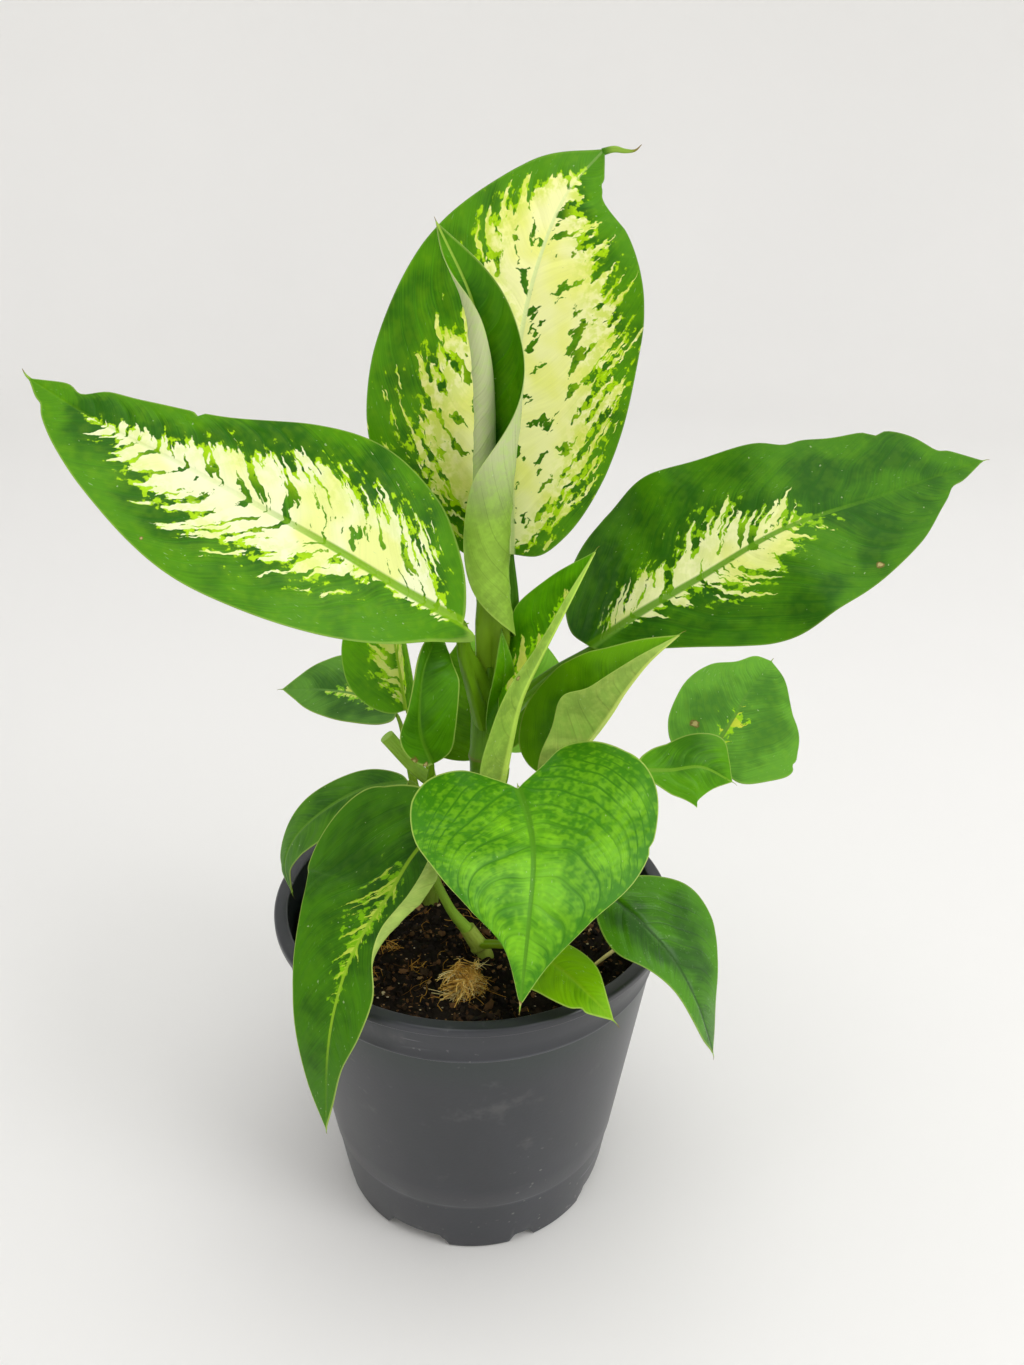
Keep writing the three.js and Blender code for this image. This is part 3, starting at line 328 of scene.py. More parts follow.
LOOKS = {
    "crown_leaf_back": look(
        (40, 92, 0), (74, 130, 0), (156, 196, 0), (216, 230, 158), (242, 243, 172), (124, 168, 66),
        rib_width=(1.6, 0.35), rib_until=0.84, veins=12, splash=(0.24, 0.17, 0.5), solid=0.17, tinge=0.75,
        cream_left=[(0, -0.4), (0.08, -0.1), (0.13, 0.46), (0.2, 0.64), (0.3, 0.66), (0.42, 0.6), (0.52, 0.5),
                    (0.6, 0.2), (0.68, 0.5), (0.8, 0.64), (0.88, 0.42), (0.94, 0), (1, -0.5)],
        cream_right=[(0, 0.4), (0.08, 0.62), (0.2, 0.7), (0.4, 0.76), (0.6, 0.72), (0.75, 0.56),
                     (0.86, 0.32), (0.93, 0), (1, -0.5)],
        stalk=(70, 124, 10), edge=0.12,
    ),
    "crown_leaf_left": look(
        (40, 92, 0), (74, 130, 0), (158, 200, 4), (122, 174, 14), (240, 244, 196), (124, 168, 66),
        rib_width=(2.0, 0.3), rib_until=0.42, veins=12, splash=(0.36, 0.1, 0.46), solid=0.13, tinge=0.3,
        cream_left=[(0, -0.1), (0.06, 0.3), (0.18, 0.38), (0.3, 0.1), (0.4, 0.36), (0.55, 0.42), (0.7, 0.4),
                    (0.8, 0.2), (0.86, -0.1), (1, -0.7)],
        cream_right=[(0, -0.2), (0.05, 0.3), (0.16, 0.56), (0.35, 0.62), (0.5, 0.5), (0.62, 0.34),
                     (0.74, 0.2), (0.82, 0), (0.88, -0.3), (1, -0.7)],
        stalk=(104, 150, 20), edge=0.3, scars=[(0.62, -22, 0.4)],
    ),
    "crown_leaf_right": look(
        (36, 86, 0), (64, 118, 0), (128, 176, 4), (96, 150, 16), (236, 240, 176), (124, 168, 66),
        rib_width=(2.1, 0.3), rib_until=0.64, veins=14, vein_tone=0.1, quilt=0.14,
        splash=(0.36, 0.09, 0.46), solid=0.08, tinge=0.25,
        cream_left=[(0, -0.4), (0.04, 0), (0.12, 0.16), (0.26, 0.24), (0.38, 0.14), (0.5, 0.34), (0.56, 0.1),
                    (0.64, -0.05), (0.7, -0.3), (1, -0.9)],
        cream_right=[(0, -0.3), (0.08, 0.06), (0.2, 0.2), (0.33, 0.1), (0.44, 0.3), (0.53, 0.28), (0.6, 0),
                     (0.7, -0.3), (1, -0.9)],
        stalk=(96, 146, 16), edge=0.15, scars=[(0.67, 19.6, 1.0)],
    ),
    # Painted light: the lower side turns paler towards the tip, where it lies in shade.
    "rolled_new_leaf": look(
        (46, 102, 0), (72, 130, 0), (140, 190, 30), (160, 196, 70), under=(142, 182, 64),
        under_tip=(196, 206, 152), veins=14, vein_tone=0.3, stalk=(120, 160, 30), edge=0.3,
    ),
    # Painted shade: darker towards the margin and over the base lobes.
    "front_heart_leaf": look(
        (60, 122, 16), (108, 170, 34), (150, 210, 40), (84, 144, 24), rib_width=(1.5, 0.4), veins=8,
        vein_tone=-0.14, sweep=(0.25, 1.5), quilt=0.16, cells=0.3, cell_size=1.35, margin_light=-0.14,
        base_light=-0.2, stalk=(150, 188, 50), edge=0.7, gloss=0.34, sheen=0.2, scars=[(0.995, 0.3, 0.9)],
    ),
    "left_drooping_leaf": look(
        (34, 78, 2), (60, 112, 2), (112, 164, 4), (140, 182, 36), (186, 206, 78), (176, 208, 100),
        rib_width=(0.8, 0.3), rib_until=0.74, sweep=(1.3, 0.6), splash=(0.42, 0.05, 0.36), solid=0, tinge=0.6,
        cream_left=[(0, -0.6), (0.15, -0.3), (0.3, 0), (0.5, 0), (0.62, -0.1), (0.8, -0.4), (1, -0.8)],
        cream_right=[(0, -0.6), (0.16, -0.22), (0.26, 0.02), (0.36, -0.01), (0.48, 0.02), (0.58, -0.06),
                     (0.7, -0.16), (0.85, -0.5), (1, -0.9)],
        stalk=(142, 184, 56), edge=0.6,
    ),
    "left_rear_drooping_leaf": look(
        (42, 88, 18), (74, 126, 22), (120, 180, 40), (96, 146, 40), veins=8, vein_tone=0.1,
        stalk=(130, 170, 40),
    ),
    "right_drooping_leaf": look(
        (38, 84, 6), (68, 124, 8), (96, 158, 10), (40, 86, 10), under=(140, 180, 60), rib_width=(0.9, 0.3),
        veins=8, vein_tone=-0.15, stalk=(110, 156, 20), edge=0.3, gloss=0.25, sheen=0.4,
    ),
    # Painted shade: darker towards the base.
    "right_small_leaf": look(
        (46, 106, 6), (116, 168, 6), (160, 200, 20), (130, 180, 20), under=(150, 190, 60), veins=8,
        vein_tone=0.1, base_light=-0.3, stalk=(140, 180, 30), scars=[(0.9, 4, 1.0)],
    ),
    "left_spotted_leaf": look(
        (66, 124, 4), (92, 154, 4), (156, 206, 10), (160, 200, 50), (230, 238, 140), (150, 190, 60),
        cream_left=[(0, 0), (0.3, 0.4), (0.6, 0.3), (1, -0.2)],
        cream_right=[(0, 0.1), (0.5, 0.3), (1, -0.4)], solid=0.03, stalk=(150, 188, 44), edge=0.4,
    ),
    # Its greens are paler and bluer than its own green: a painted sheen.
    "far_left_leaf": look(
        (56, 98, 42), (90, 138, 62), (136, 190, 50), (100, 146, 66), (214, 228, 116),
        rib_width=(0.9, 0.3), rib_until=0.7, stalk=(140, 180, 44), edge=0.4, solid=0.05,
        cream_left=[(0, -0.2), (0.2, 0.15), (0.45, 0.2), (0.65, -0.1), (0.8, -0.6), (1, -0.9)],
        cream_right=[(0, -0.1), (0.2, 0.1), (0.45, 0.15), (0.65, -0.2), (1, -0.9)],
    ),
    "left_upright_leaf": look(
        (50, 98, 4), (72, 128, 6), (104, 160, 16), (84, 136, 20), under=(140, 180, 60),
        rib_width=(0.9, 0.3), veins=8, vein_tone=0.1, stalk=(110, 160, 20),
        scars=[(0.12, -5, 1.3), (0.04, -2, 0.9)],
    ),
    "centre_folded_leaf": look(
        (56, 112, 0), (82, 146, 0), (146, 205, 4), (150, 188, 60), (226, 234, 116), (160, 202, 76),
        cream_left=[(0, -0.2), (0.3, 0.0), (0.42, 0.6), (0.55, 0.5), (0.7, 0.1), (0.85, 0.0), (1, -0.5)],
        solid=0.15, stalk=(140, 180, 40), edge=0.4, scars=[(0.45, 4, 0.6)],
    ),
    # Its greens and lower side are painted lighter: painted light on halves that lie in shade.
    "right_folded_leaf": look(
        (78, 134, 2), (108, 166, 4), (130, 186, 4), (120, 170, 40), under=(174, 212, 94), veins=8,
        vein_tone=0.08, stalk=(130, 176, 30),
    ),
    "far_right_leaf": look(
        (68, 120, 38), (96, 152, 52), (150, 200, 20), (92, 146, 44), (214, 222, 70),
        rib_width=(1.0, 0.3), rib_until=0.6, vein_tone=0.1, solid=0.05,
        cream_left=[(0, -0.1), (0.2, -0.05), (0.5, -0.3), (1, -0.8)],
        cream_right=[(0, 0.1), (0.3, 0.1), (0.5, -0.1), (0.7, -0.4), (1, -0.8)],
        stalk=(120, 164, 30), edge=0.2, scars=[(0.04, -9, 1.5)],
    ),
    "right_folded_small_leaf": look(
        (50, 104, 0), (82, 142, 4), (140, 200, 10), (112, 164, 30), under=(150, 184, 62),
        rib_width=(0.9, 0.3), veins=7, stalk=(130, 176, 30),
    ),
    "back_pale_leaf": look(
        (118, 176, 66), (140, 196, 86), (160, 210, 100), (160, 206, 110), under=(150, 200, 100), veins=8,
        vein_tone=0.1, stalk=(140, 186, 60), edge=0.3,
    ),
    "back_dark_leaf": look(
        (66, 112, 6), (86, 134, 10), (120, 170, 20), (106, 150, 30), under=(120, 160, 40), veins=8,
        vein_tone=0.1, stalk=(110, 156, 30), edge=0.3,
    ),
}

# A half whose margin is turned over: which half, where the turn starts and ends along the leaf, the share of
# the half where it begins, and the degrees it turns.
HEMS = {"left_drooping_leaf": (0, 0.02, 0.56, 0.55, 170)}

# Bites out of a margin: half (0 left, 1 right), share of the length, depth and width in mm.
NICKS = {
    "crown_leaf_back": [(1, 0.9, 1.8, 5), (1, 0.93, 0.8, 2)],
    "crown_leaf_left": [(1, 0.66, 1.1, 1.6), (1, 0.885, 2.8, 7), (0, 0.93, 0.8, 4)],
    "crown_leaf_right": [(0, 0.6, 1.7, 8), (0, 0.81, 1.5, 4), (0, 0.92, 1.6, 4), (1, 0.9, 1.2, 5)],
    "right_small_leaf": [(1, 0.8, 1.1, 2.2)],
    "left_rear_drooping_leaf": [(1, 0.86, 0.7, 2)],
    "front_heart_leaf": [(0, 0.42, 0.6, 1.8)],
    "far_right_leaf": [(1, 0.2, 0.9, 2.5)],
}

# The thread that a leaf's tip runs out into: path and radius. The others get a short straight one.
TAILS = {
    "crown_leaf_back": (
        [(32.4, 37.6, 308.3), (35.5, 38, 309), (38.5, 38.2, 308.6), (41, 38.4, 308.8), (42.6, 38.6, 310.2)],
        0.9,
    ),
    "crown_leaf_left": ([(-108, -2.6, 255.6), (-109.6, -1.8, 256.8), (-110.4, -1.4, 258.2)], 0.4),
    "rolled_new_leaf": ([(-6.4, -1.6, 289.5), (-8, -3, 293), (-8.4, -3.4, 294)], 0.3),
}

# The green wing of a leaf's sheath that stands up in front of the main stem, drawn like a small blade.
SHEATH_WING = leaf(
    lance(4.2), lance(3.2), [(5.5, -1.8, 158), (7.5, -3.2, 169), (9, -3.6, 180), (8, -2, 191)],
    [(0.5, -1, 0.1), (0.4, -1, 0.1)], ([(4, 5, 150), (7, -1.4, 158)], (0.5, 0.5)),
    curl=((30, 30), (30, 30)), wave=(0, 1),
)

# ---- curves and meshes

pot_low, pot_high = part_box("pot")
POT_CENTRE = np.array([(pot_low.x + pot_high.x) / 2, (pot_low.y + pot_high.y) / 2, 0])
FULL_TURN = 2 * math.pi
TOO_CLOSE = 1e-4  # mm between two points of a curve


def placed(points):
    """Points of the tables, in the model's frame."""
    return np.asarray(points, float) * MM + POT_CENTRE


def unit(vectors):
    return vectors / np.linalg.norm(vectors, axis=-1, keepdims=True)


def smooth(value, start, end):
    """0 at start, 1 at end and smooth between them."""
    t = np.clip((value - start) / (end - start), 0, 1)
    return t * t * (3 - 2 * t)


def bell(value, width):
    """1 at 0, falling off on both sides."""
    return np.exp(-((value / width) ** 2))


def ring(radius, z, sides):
    """Points around the upright axis."""
    turns = FULL_TURN * np.arange(sides) / sides
    return [(radius * math.cos(turn), radius * math.sin(turn), z) for turn in turns]


def linked(name, data):
    """A new object in the scene."""
    made = bpy.data.objects.new(name, data)
    bpy.context.scene.collection.objects.link(made)
    return made


class Curve:
    """The centripetal Catmull-Rom curve through a list of points."""

    def __init__(self, points, samples=400):
        points = np.array(points, float)
        first = 2 * points[0] - points[1]
        last = 2 * points[-1] - points[-2]
        self.points = np.vstack([first, points, last])
        self.samples = np.linspace(0, 1, samples + 1)
        steps = np.linalg.norm(np.diff(self.point(self.samples), axis=0), axis=1)
        self.reached = np.concatenate([[0], np.cumsum(steps)])
        self.length = self.reached[-1]

    def point(self, t):
        """The point at t, which runs evenly over the listed points."""
        stretches = len(self.points) - 3
        place = np.asarray(t, float) * stretches
        index = np.clip(np.floor(place).astype(int), 0, stretches - 1)
        w = (place - index)[..., None]
        x0, x1, x2, x3 = (self.points[index + k] for k in range(4))
        spans = (x1 - x0, x2 - x1, x3 - x2)
        d0, d1, d2 = (np.linalg.norm(span, axis=-1, keepdims=True) ** 0.5 for span in spans)
        d1 = np.where(d1 < TOO_CLOSE, 1, d1)
        d0 = np.where(d0 < TOO_CLOSE, d1, d0)
        d2 = np.where(d2 < TOO_CLOSE, d1, d2)
        t1 = ((x1 - x0) / d0 - (x2 - x0) / (d0 + d1) + (x2 - x1) / d1) * d1
        t2 = ((x2 - x1) / d1 - (x3 - x1) / (d1 + d2) + (x3 - x2) / d2) * d1
        return x1 + t1 * w + (-3 * x1 + 3 * x2 - 2 * t1 - t2) * w**2 + (2 * x1 - 2 * x2 + t1 + t2) * w**3

    def at(self, share):
        """The point at a share of the curve's length."""
        return self.point(np.interp(np.asarray(share) * self.length, self.reached, self.samples))

    def tangent(self, share):
        before = np.clip(np.asarray(share, float) - 1e-4, 0, 1)
        after = np.clip(np.asarray(share, float) + 1e-4, 0, 1)
        return unit(self.at(after) - self.at(before))


class Parts:
    """Surfaces gathered into one mesh, with named values at every point."""

    def __init__(self, **defaults):
        self.defaults = defaults
        self.points, self.faces, self.count = [], [], 0
        self.values = {key: [] for key in defaults}

    def add(self, points, faces, **values):
        points = np.asarray(points, float).reshape(-1, 3)
        self.points.append(points)
        self.faces += [[i + self.count for i in face] for face in faces]
        for key, default in self.defaults.items():
            value = np.asarray(values.get(key, default), float).ravel()
            self.values[key].append(np.broadcast_to(value, len(points)))
        self.count += len(points)

    def add_strand(self, path, radii, steps, tone, sides=5):
        points, faces, _ = tube(path, radii, steps, sides)
        self.add(points, faces, tone=tone)

    def piece(self, name, material, sharp=50):
        """The mesh as an object that rides the body. Edges sharper than the angle stay sharp."""
        mesh = bpy.data.meshes.new(name)
        mesh.from_pydata(placed(np.vstack(self.points)).tolist(), [], self.faces)
        for key, chunks in self.values.items():
            mesh.attributes.new(key, "FLOAT", "POINT").data.foreach_set("value", np.concatenate(chunks))
        mesh.shade_smooth()
        mesh.set_sharp_from_angle(angle=math.radians(sharp))
        mesh.materials.append(material)
        piece = linked(name, mesh)
        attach(piece, "root")
        return piece


def grid_faces(rows, columns, closed=False):
    """Quads over a grid of points, rows by columns, whose last column may join its first."""
    faces = []
    for i in range(rows - 1):
        for j in range(columns if closed else columns - 1):
            k = (j + 1) % columns
            faces.append((i * columns + j, i * columns + k, (i + 1) * columns + k, (i + 1) * columns + j))
    return faces


def carried(tangents, first):
    """Directions square to each tangent, carried along without twist from the last one to the first."""
    normals = [None] * len(tangents)
    normal = np.asarray(first, float)
    for i in range(len(tangents) - 1, -1, -1):
        normal = unit(normal - tangents[i] * np.dot(normal, tangents[i]))
        normals[i] = normal
    return np.array(normals)


def tube(path, radii, steps, sides, up=(0.3, -1, 0.2), outline=None):
    """Points and faces of a closed tube, and each point's share of the length. outline(share, turn) scales
    the radius; a turn of 0 is where up points."""
    curve = Curve(path)
    shares = np.linspace(0, 1, steps + 1)
    tangents = curve.tangent(shares)
    normals = carried(tangents, up)
    across = np.cross(tangents, normals)
    turns = FULL_TURN * np.arange(sides) / sides
    radius = np.interp(shares, np.linspace(0, 1, len(radii)), radii)[:, None] * np.ones(sides)
    if outline:
        to_either_side = np.where(turns > math.pi, turns - FULL_TURN, turns)
        radius = radius * outline(shares[:, None], to_either_side[None, :])
    rings = np.cos(turns)[None, :, None] * normals[:, None] + np.sin(turns)[None, :, None] * across[:, None]
    points = (curve.at(shares)[:, None] + radius[..., None] * rings).reshape(-1, 3)
    faces = grid_faces(steps + 1, sides, closed=True)
    last = steps * sides
    ends = np.array([points[:sides].mean(0), points[last:].mean(0)])
    middle = len(points)
    for k in range(sides):
        faces.append((middle, (k + 1) % sides, k))
        faces.append((middle + 1, last + k, last + (k + 1) % sides))
    share = np.concatenate([np.repeat(shares, sides), [0, 1]])
    return np.vstack([points, ends]), faces, share


def around(steps, sides):
    """How far each point of a tube is turned from its under side, in radians."""
    turns = np.abs(FULL_TURN * np.arange(sides) / sides - math.pi)
    return np.concatenate([np.tile(turns, steps + 1), [0, 0]])


# ---- materials


def rgb(red, green, blue):
    """A colour for a shader, from sRGB values of 0 to 255."""
    values = [c / 255 for c in (red, green, blue)]
    return tuple(c / 12.92 if c <= 0.04045 else ((c + 0.055) / 1.055) ** 2.4 for c in values) + (1.0,)


class Nodes:
    """A new material, with a method for each kind of node that is used here."""

    def __init__(self, name, roughness=0.5, specular=0.5):
        self.material = bpy.data.materials.new(name)
        self.material.use_nodes = True
        self.tree = self.material.node_tree
        self.shader = self.tree.nodes["Principled BSDF"]
        self.shader.inputs["Roughness"].default_value = roughness
        self.shader.inputs["Specular IOR Level"].default_value = specular

    def put(self, socket, value):
        if isinstance(value, bpy.types.NodeSocket):
            self.tree.links.new(value, socket)
        else:
            socket.default_value = value

    def node(self, kind, inputs, output=0, **settings):
        node = self.tree.nodes.new("ShaderNode" + kind)
        for key, value in settings.items():
            setattr(node, key, value)
        for key, value in inputs.items():
            self.put(node.inputs[key], value)
        return node.outputs[output]

    def value(self, attribute):
        return self.node("Attribute", {}, "Fac", attribute_name=attribute)

    def place(self):
        return self.node("TexCoord", {}, "Object")

    def math(self, operation, a, b=0.0):
        return self.node("Math", {0: a, 1: b}, operation=operation)

    def add(self, a, b):
        return self.math("ADD", a, b)

    def times(self, a, b):
        return self.math("MULTIPLY", a, b)

    def point(self, x, y, z):
        return self.node("CombineXYZ", {"X": x, "Y": y, "Z": z})

    def stretched(self, place, *factors):
        return self.node("VectorMath", {0: place, 1: factors}, operation="MULTIPLY")

    def noise(self, vector, scale, detail=2.0, roughness=0.5):
        inputs = {"Vector": vector, "Scale": scale, "Detail": detail, "Roughness": roughness}
        return self.node("TexNoise", inputs)

    def streaks(self, a, b, fine, seed, detail=2.0):
        """A noise over a and b that is as fine along each as the two numbers say."""
        return self.noise(self.point(self.times(a, fine[0]), self.times(b, fine[1]), seed), 1.0, detail)

    def swing(self, noise_value, amount):
        """A noise, brought to run from about -amount to amount."""
        return self.times(self.add(noise_value, -0.5), amount * 4)

    def ramp(self, value, start, end):
        """0 where value is at start, 1 where it is at end, smooth between."""
        if start < end:
            inputs = {"Value": value, "From Min": start, "From Max": end}
        else:
            inputs = {"Value": value, "From Min": end, "From Max": start, "To Min": 1.0, "To Max": 0.0}
        return self.node("MapRange", inputs, interpolation_type="SMOOTHSTEP")

    def mix(self, share, a, b, blend="MIX"):
        return self.node("Mix", {0: share, 6: a, 7: b}, 2, data_type="RGBA", blend_type=blend)

    def paint(self, colour, mask, strength, *tone):
        """The colour with a tone laid over it where the mask is 1."""
        return self.mix(self.times(mask, strength), colour, rgb(*tone))

    def lighten(self, colour, change):
        """The colour times 1 + change."""
        grey = self.node("CombineColor", {key: self.add(change, 1.0) for key in ("Red", "Green", "Blue")})
        return self.mix(1.0, colour, grey, "MULTIPLY")

    def finish(self, colour, height=None, distance=0.1 * MM, strength=0.5, roughness=None):
        """The material, with a bump of the height given."""
        self.put(self.shader.inputs["Base Color"], colour)
        if roughness is not None:
            self.put(self.shader.inputs["Roughness"], roughness)
        if height is not None:
            bump = {"Strength": strength, "Distance": distance, "Height": height}
            self.put(self.shader.inputs["Normal"], self.node("Bump", bump))
        return self.material


# What each point of a leaf holds: in mm, where its side vein starts on the midrib, its place across and
# along the blade, how far in from the margin it is, and the midrib's width; the number of its side vein; how
# deep it is in the cream centre, as a share of the half; 1 on the lower side and on the stalk; and the share
# of the stalk and of the tip's thread.
LEAF_VALUES = dict(start=0, across=0, along=0, inset=9, rib_width=1, vein=0.5, reach=-1, under=0, stalk=0,
                   along_stalk=0, tail=0)


class LeafNodes(Nodes):
    """A leaf's material, with the values and noises that its colours are made of."""

    def __init__(self, name, looks, length, seed):
        super().__init__(name, specular=looks["sheen"])
        self.looks, self.length, self.seed = looks, length, seed
        for key in LEAF_VALUES:
            setattr(self, key, self.value(key))
        self.flat = self.point(self.along, self.across, seed)
        self.share = self.times(self.along, 1 / length)
        self.from_rib = self.math("ABSOLUTE", self.across)
        self.rib_place = self.math("DIVIDE", self.from_rib, self.rib_width)
        self.between = self.math("PINGPONG", self.vein, 0.5)  # 0 on a side vein, 0.5 half way to the next
        self.on_vein = self.times(self.ramp(self.between, 0.055, 0.0), self.ramp(self.inset, 0.5, 5.0))

        fine_across, fine_along, _ = looks["splash"]
        warp = self.swing(self.noise(self.flat, 0.45, 1.0), 0.25)
        veined = self.add(self.times(self.start, fine_across), warp)
        veined = self.point(veined, self.times(self.across, fine_along), seed)
        self.splash = self.noise(veined, 1.0, 2.5, 0.55)
        self.mottle = self.noise(self.flat, 0.85, 2.0, 0.6)
        self.blotch = self.noise(self.flat, 0.42, 2.5, 0.6)
        self.cloud = self.noise(self.flat, 0.07, 2.0)
        self.fine = self.streaks(self.start, self.across, (1.5, 0.1), seed + 3)


def own(red, green, blue):
    """The surface's own colour, from the one that the table gives as lit."""
    return rgb(red * 1.06, green * 1.08, blue * 0.85)


def leaf_patches(n):
    """Where the upper side is cream, where it is lime, and where the cream centre's outer part is."""
    ragged = n.looks["splash"][2]
    field = n.math("MINIMUM", n.reach, n.looks["solid"])
    field = n.add(field, n.add(n.swing(n.splash, ragged), n.swing(n.mottle, 0.06)))
    froth = n.add(n.reach, n.add(n.swing(n.splash, ragged * 0.6), n.swing(n.blotch, 0.26)))
    outer = n.ramp(n.reach, 0.34, 0.02)
    return n.ramp(field, -0.02, 0.015), n.times(n.ramp(froth, -0.13, -0.02), outer), outer


def leaf_green(n):
    """The upper side's green, with the side veins, the light cells between them, and painted light and shade
    at the margin and the base.
    """
    looks = n.looks
    # Painted light and shade: the margin and the base are made lighter, and darker where the look's values
    # are negative.
    at_margin = n.times(n.ramp(n.inset, 9.0, 0.0), looks["margin_light"])
    by_place = n.add(at_margin, n.times(n.ramp(n.share, 0.35, -0.05), looks["base_light"]))
    lighter = n.add(n.cloud, n.add(n.swing(n.fine, 0.05), by_place))
    green = n.mix(n.ramp(lighter, 0.38, 0.68), own(*looks["deep"]), own(*looks["green"]))
    green = n.lighten(green, n.swing(n.fine, 0.085))
    cell = n.noise(n.flat, 0.42 * looks["cell_size"], 1.0)
    # More light cells away from the midrib and the margin: partly the cell pattern, partly painted light in
    # the middle of each half.
    middle = n.times(n.ramp(n.from_rib, 2.0, 9.0), n.ramp(n.inset, 1.0, 8.0))
    cell = n.ramp(n.add(cell, n.times(middle, 0.12)), 0.42, 0.78)
    cell = n.times(n.ramp(n.between, 0.02, 0.16), cell)
    green = n.mix(n.times(cell, looks["cells"]), green, own(*looks["lime"]))
    return n.lighten(green, n.times(n.on_vein, looks["vein_tone"]))


def leaf_cream(n, outer):
    """The cream centre's colour, yellower in clouds and more so in its outer part."""
    cream, lime = n.looks["cream"], n.looks["lime"]
    yellower = [c * share for c, share in zip(cream, (0.97, 0.98, 0.76))]
    colour = n.mix(n.ramp(n.cloud, 0.4, 0.65), rgb(*cream), rgb(*yellower))
    tinge = n.times(outer, n.ramp(n.add(n.blotch, n.swing(n.splash, 0.08)), 0.4, 0.6))
    red, green, blue = [0.55 * c + 0.45 * l for c, l in zip(cream, lime)]
    colour = n.paint(colour, tinge, n.looks["tinge"], red, green, blue * 0.7)
    return n.lighten(colour, n.swing(n.fine, 0.035))


def leaf_top(n, cream, lime, outer):
    colour = n.mix(lime, leaf_green(n), n.lighten(own(*n.looks["lime"]), n.swing(n.mottle, 0.12)))
    colour = n.mix(cream, colour, leaf_cream(n, outer))
    until = n.looks["rib_until"]
    faded = n.add(n.times(n.ramp(n.share, until + 0.12, until - 0.12), 0.85), 0.15)
    rib = n.times(n.ramp(n.rib_place, 1.15, 0.6), faded)
    return n.mix(n.times(rib, 0.93), colour, n.lighten(rgb(*n.looks["rib"]), n.swing(n.fine, 0.06)))


def leaf_underside(n, cream):
    """The lower side, where the midrib and what is cream above are paler."""
    under = n.looks["under"]
    paler = [min(c * 1.26, 235) for c in under]
    colour = n.mix(n.ramp(n.cloud, 0.35, 0.65), rgb(*under), rgb(*[c * 0.84 for c in under]))
    # Painted light: the lower side turns paler towards the tip, where it lies in shade.
    if n.looks["under_tip"]:
        colour = n.mix(n.ramp(n.share, 0.3, 0.55), colour, rgb(*n.looks["under_tip"]))
    marbled = n.math("MAXIMUM", n.times(cream, 0.55), n.times(n.ramp(n.blotch, 0.4, 0.7), 0.26))
    colour = n.mix(marbled, colour, rgb(*paler))
    colour = n.lighten(colour, n.add(n.swing(n.fine, 0.07), n.times(n.on_vein, -0.18)))
    return n.paint(colour, n.ramp(n.rib_place, 1.5, 0.9), 0.7, *paler)


def leaf_marks(n, colour):
    """The colour with the margin's pale line, the scars, the dried tip, worn places and dust."""
    colour = n.paint(colour, n.ramp(n.inset, 0.44, 0.14), n.looks["edge"], 186, 208, 100)
    for share, aside, size in n.looks["scars"]:
        centre = n.point(share * n.length, aside, n.seed)
        spot = n.node("VectorMath", {0: n.flat, 1: centre}, "Value", operation="DISTANCE")
        spot = n.add(spot, n.swing(n.mottle, size * 0.4))
        colour = n.mix(n.ramp(spot, size * 1.15, size * 0.85), colour, rgb(112, 102, 42))
        colour = n.mix(n.ramp(spot, size * 0.8, size * 0.35), colour, rgb(178, 166, 104))
    colour = n.paint(colour, n.ramp(n.tail, 0.0, 0.3), 0.8, 150, 186, 70)
    colour = n.paint(colour, n.ramp(n.tail, 0.6, 0.9), 0.85, 132, 96, 52)
    worn = n.ramp(n.streaks(n.along, n.across, (0.5, 2.6), n.seed + 8, 1.0), 0.7, 0.75)
    colour = n.paint(colour, n.times(worn, n.ramp(n.cloud, 0.5, 0.62)), 0.4, 176, 204, 140)
    return n.paint(colour, n.ramp(n.noise(n.flat, 0.8, 1.0), 0.76, 0.785), 0.4, 206, 222, 170)


def stalk_colour(n):
    stalk = n.looks["stalk"]
    colour = n.mix(n.ramp(n.along_stalk, 0.0, 1.0), rgb(*stalk), rgb(*[c * 0.86 for c in stalk]))
    return n.lighten(colour, n.swing(n.streaks(n.along, n.across, (0.12, 1.6), n.seed, 3.0), 0.1))


def leaf_material(name, looks, length, seed):
    n = LeafNodes(name, looks, length, seed)
    cream, lime, outer = leaf_patches(n)
    colour = n.mix(n.under, leaf_top(n, cream, lime, outer), leaf_underside(n, cream))
    colour = n.mix(n.stalk, leaf_marks(n, colour), stalk_colour(n))
    height = n.add(n.times(n.fine, 0.6), n.add(n.times(n.mottle, 0.3), n.times(n.on_vein, -0.5)))
    roughness = n.add(n.add(n.swing(n.mottle, 0.04), looks["gloss"]), n.times(n.under, 0.16))
    return n.finish(colour, height, 0.12 * MM, 0.45, roughness)


def stem_material(name, low, high):
    """Stem skin, from one colour at the foot to another at the top, with brown rings and flecks."""
    n = Nodes(name, specular=0.25)
    share, turn = n.value("share"), n.value("turn")
    place = n.point(n.times(share, 60.0), n.times(turn, 2.0), 0.0)
    long_grain = n.streaks(share, turn, (9.0, 5.0), 3.0, 3.0)
    blotch = n.noise(place, 0.35, 3.0)
    colour = n.mix(n.ramp(n.add(share, n.swing(blotch, 0.15)), 0.2, 0.8), rgb(*low), rgb(*high))
    colour = n.lighten(colour, n.swing(long_grain, 0.1))
    scar = n.ramp(n.add(n.value("ring"), n.swing(n.noise(place, 0.9, 2.0), 0.225)), 0.6, 1.0)
    colour = n.paint(colour, scar, 0.7, 118, 112, 52)
    colour = n.paint(colour, n.ramp(n.noise(place, 1.4, 2.0), 0.7, 0.76), 0.6, 104, 84, 40)
    height = n.add(long_grain, n.times(blotch, 0.5))
    return n.finish(colour, height, 0.2 * MM, 0.4, n.ramp(long_grain, -0.3, 1.6))


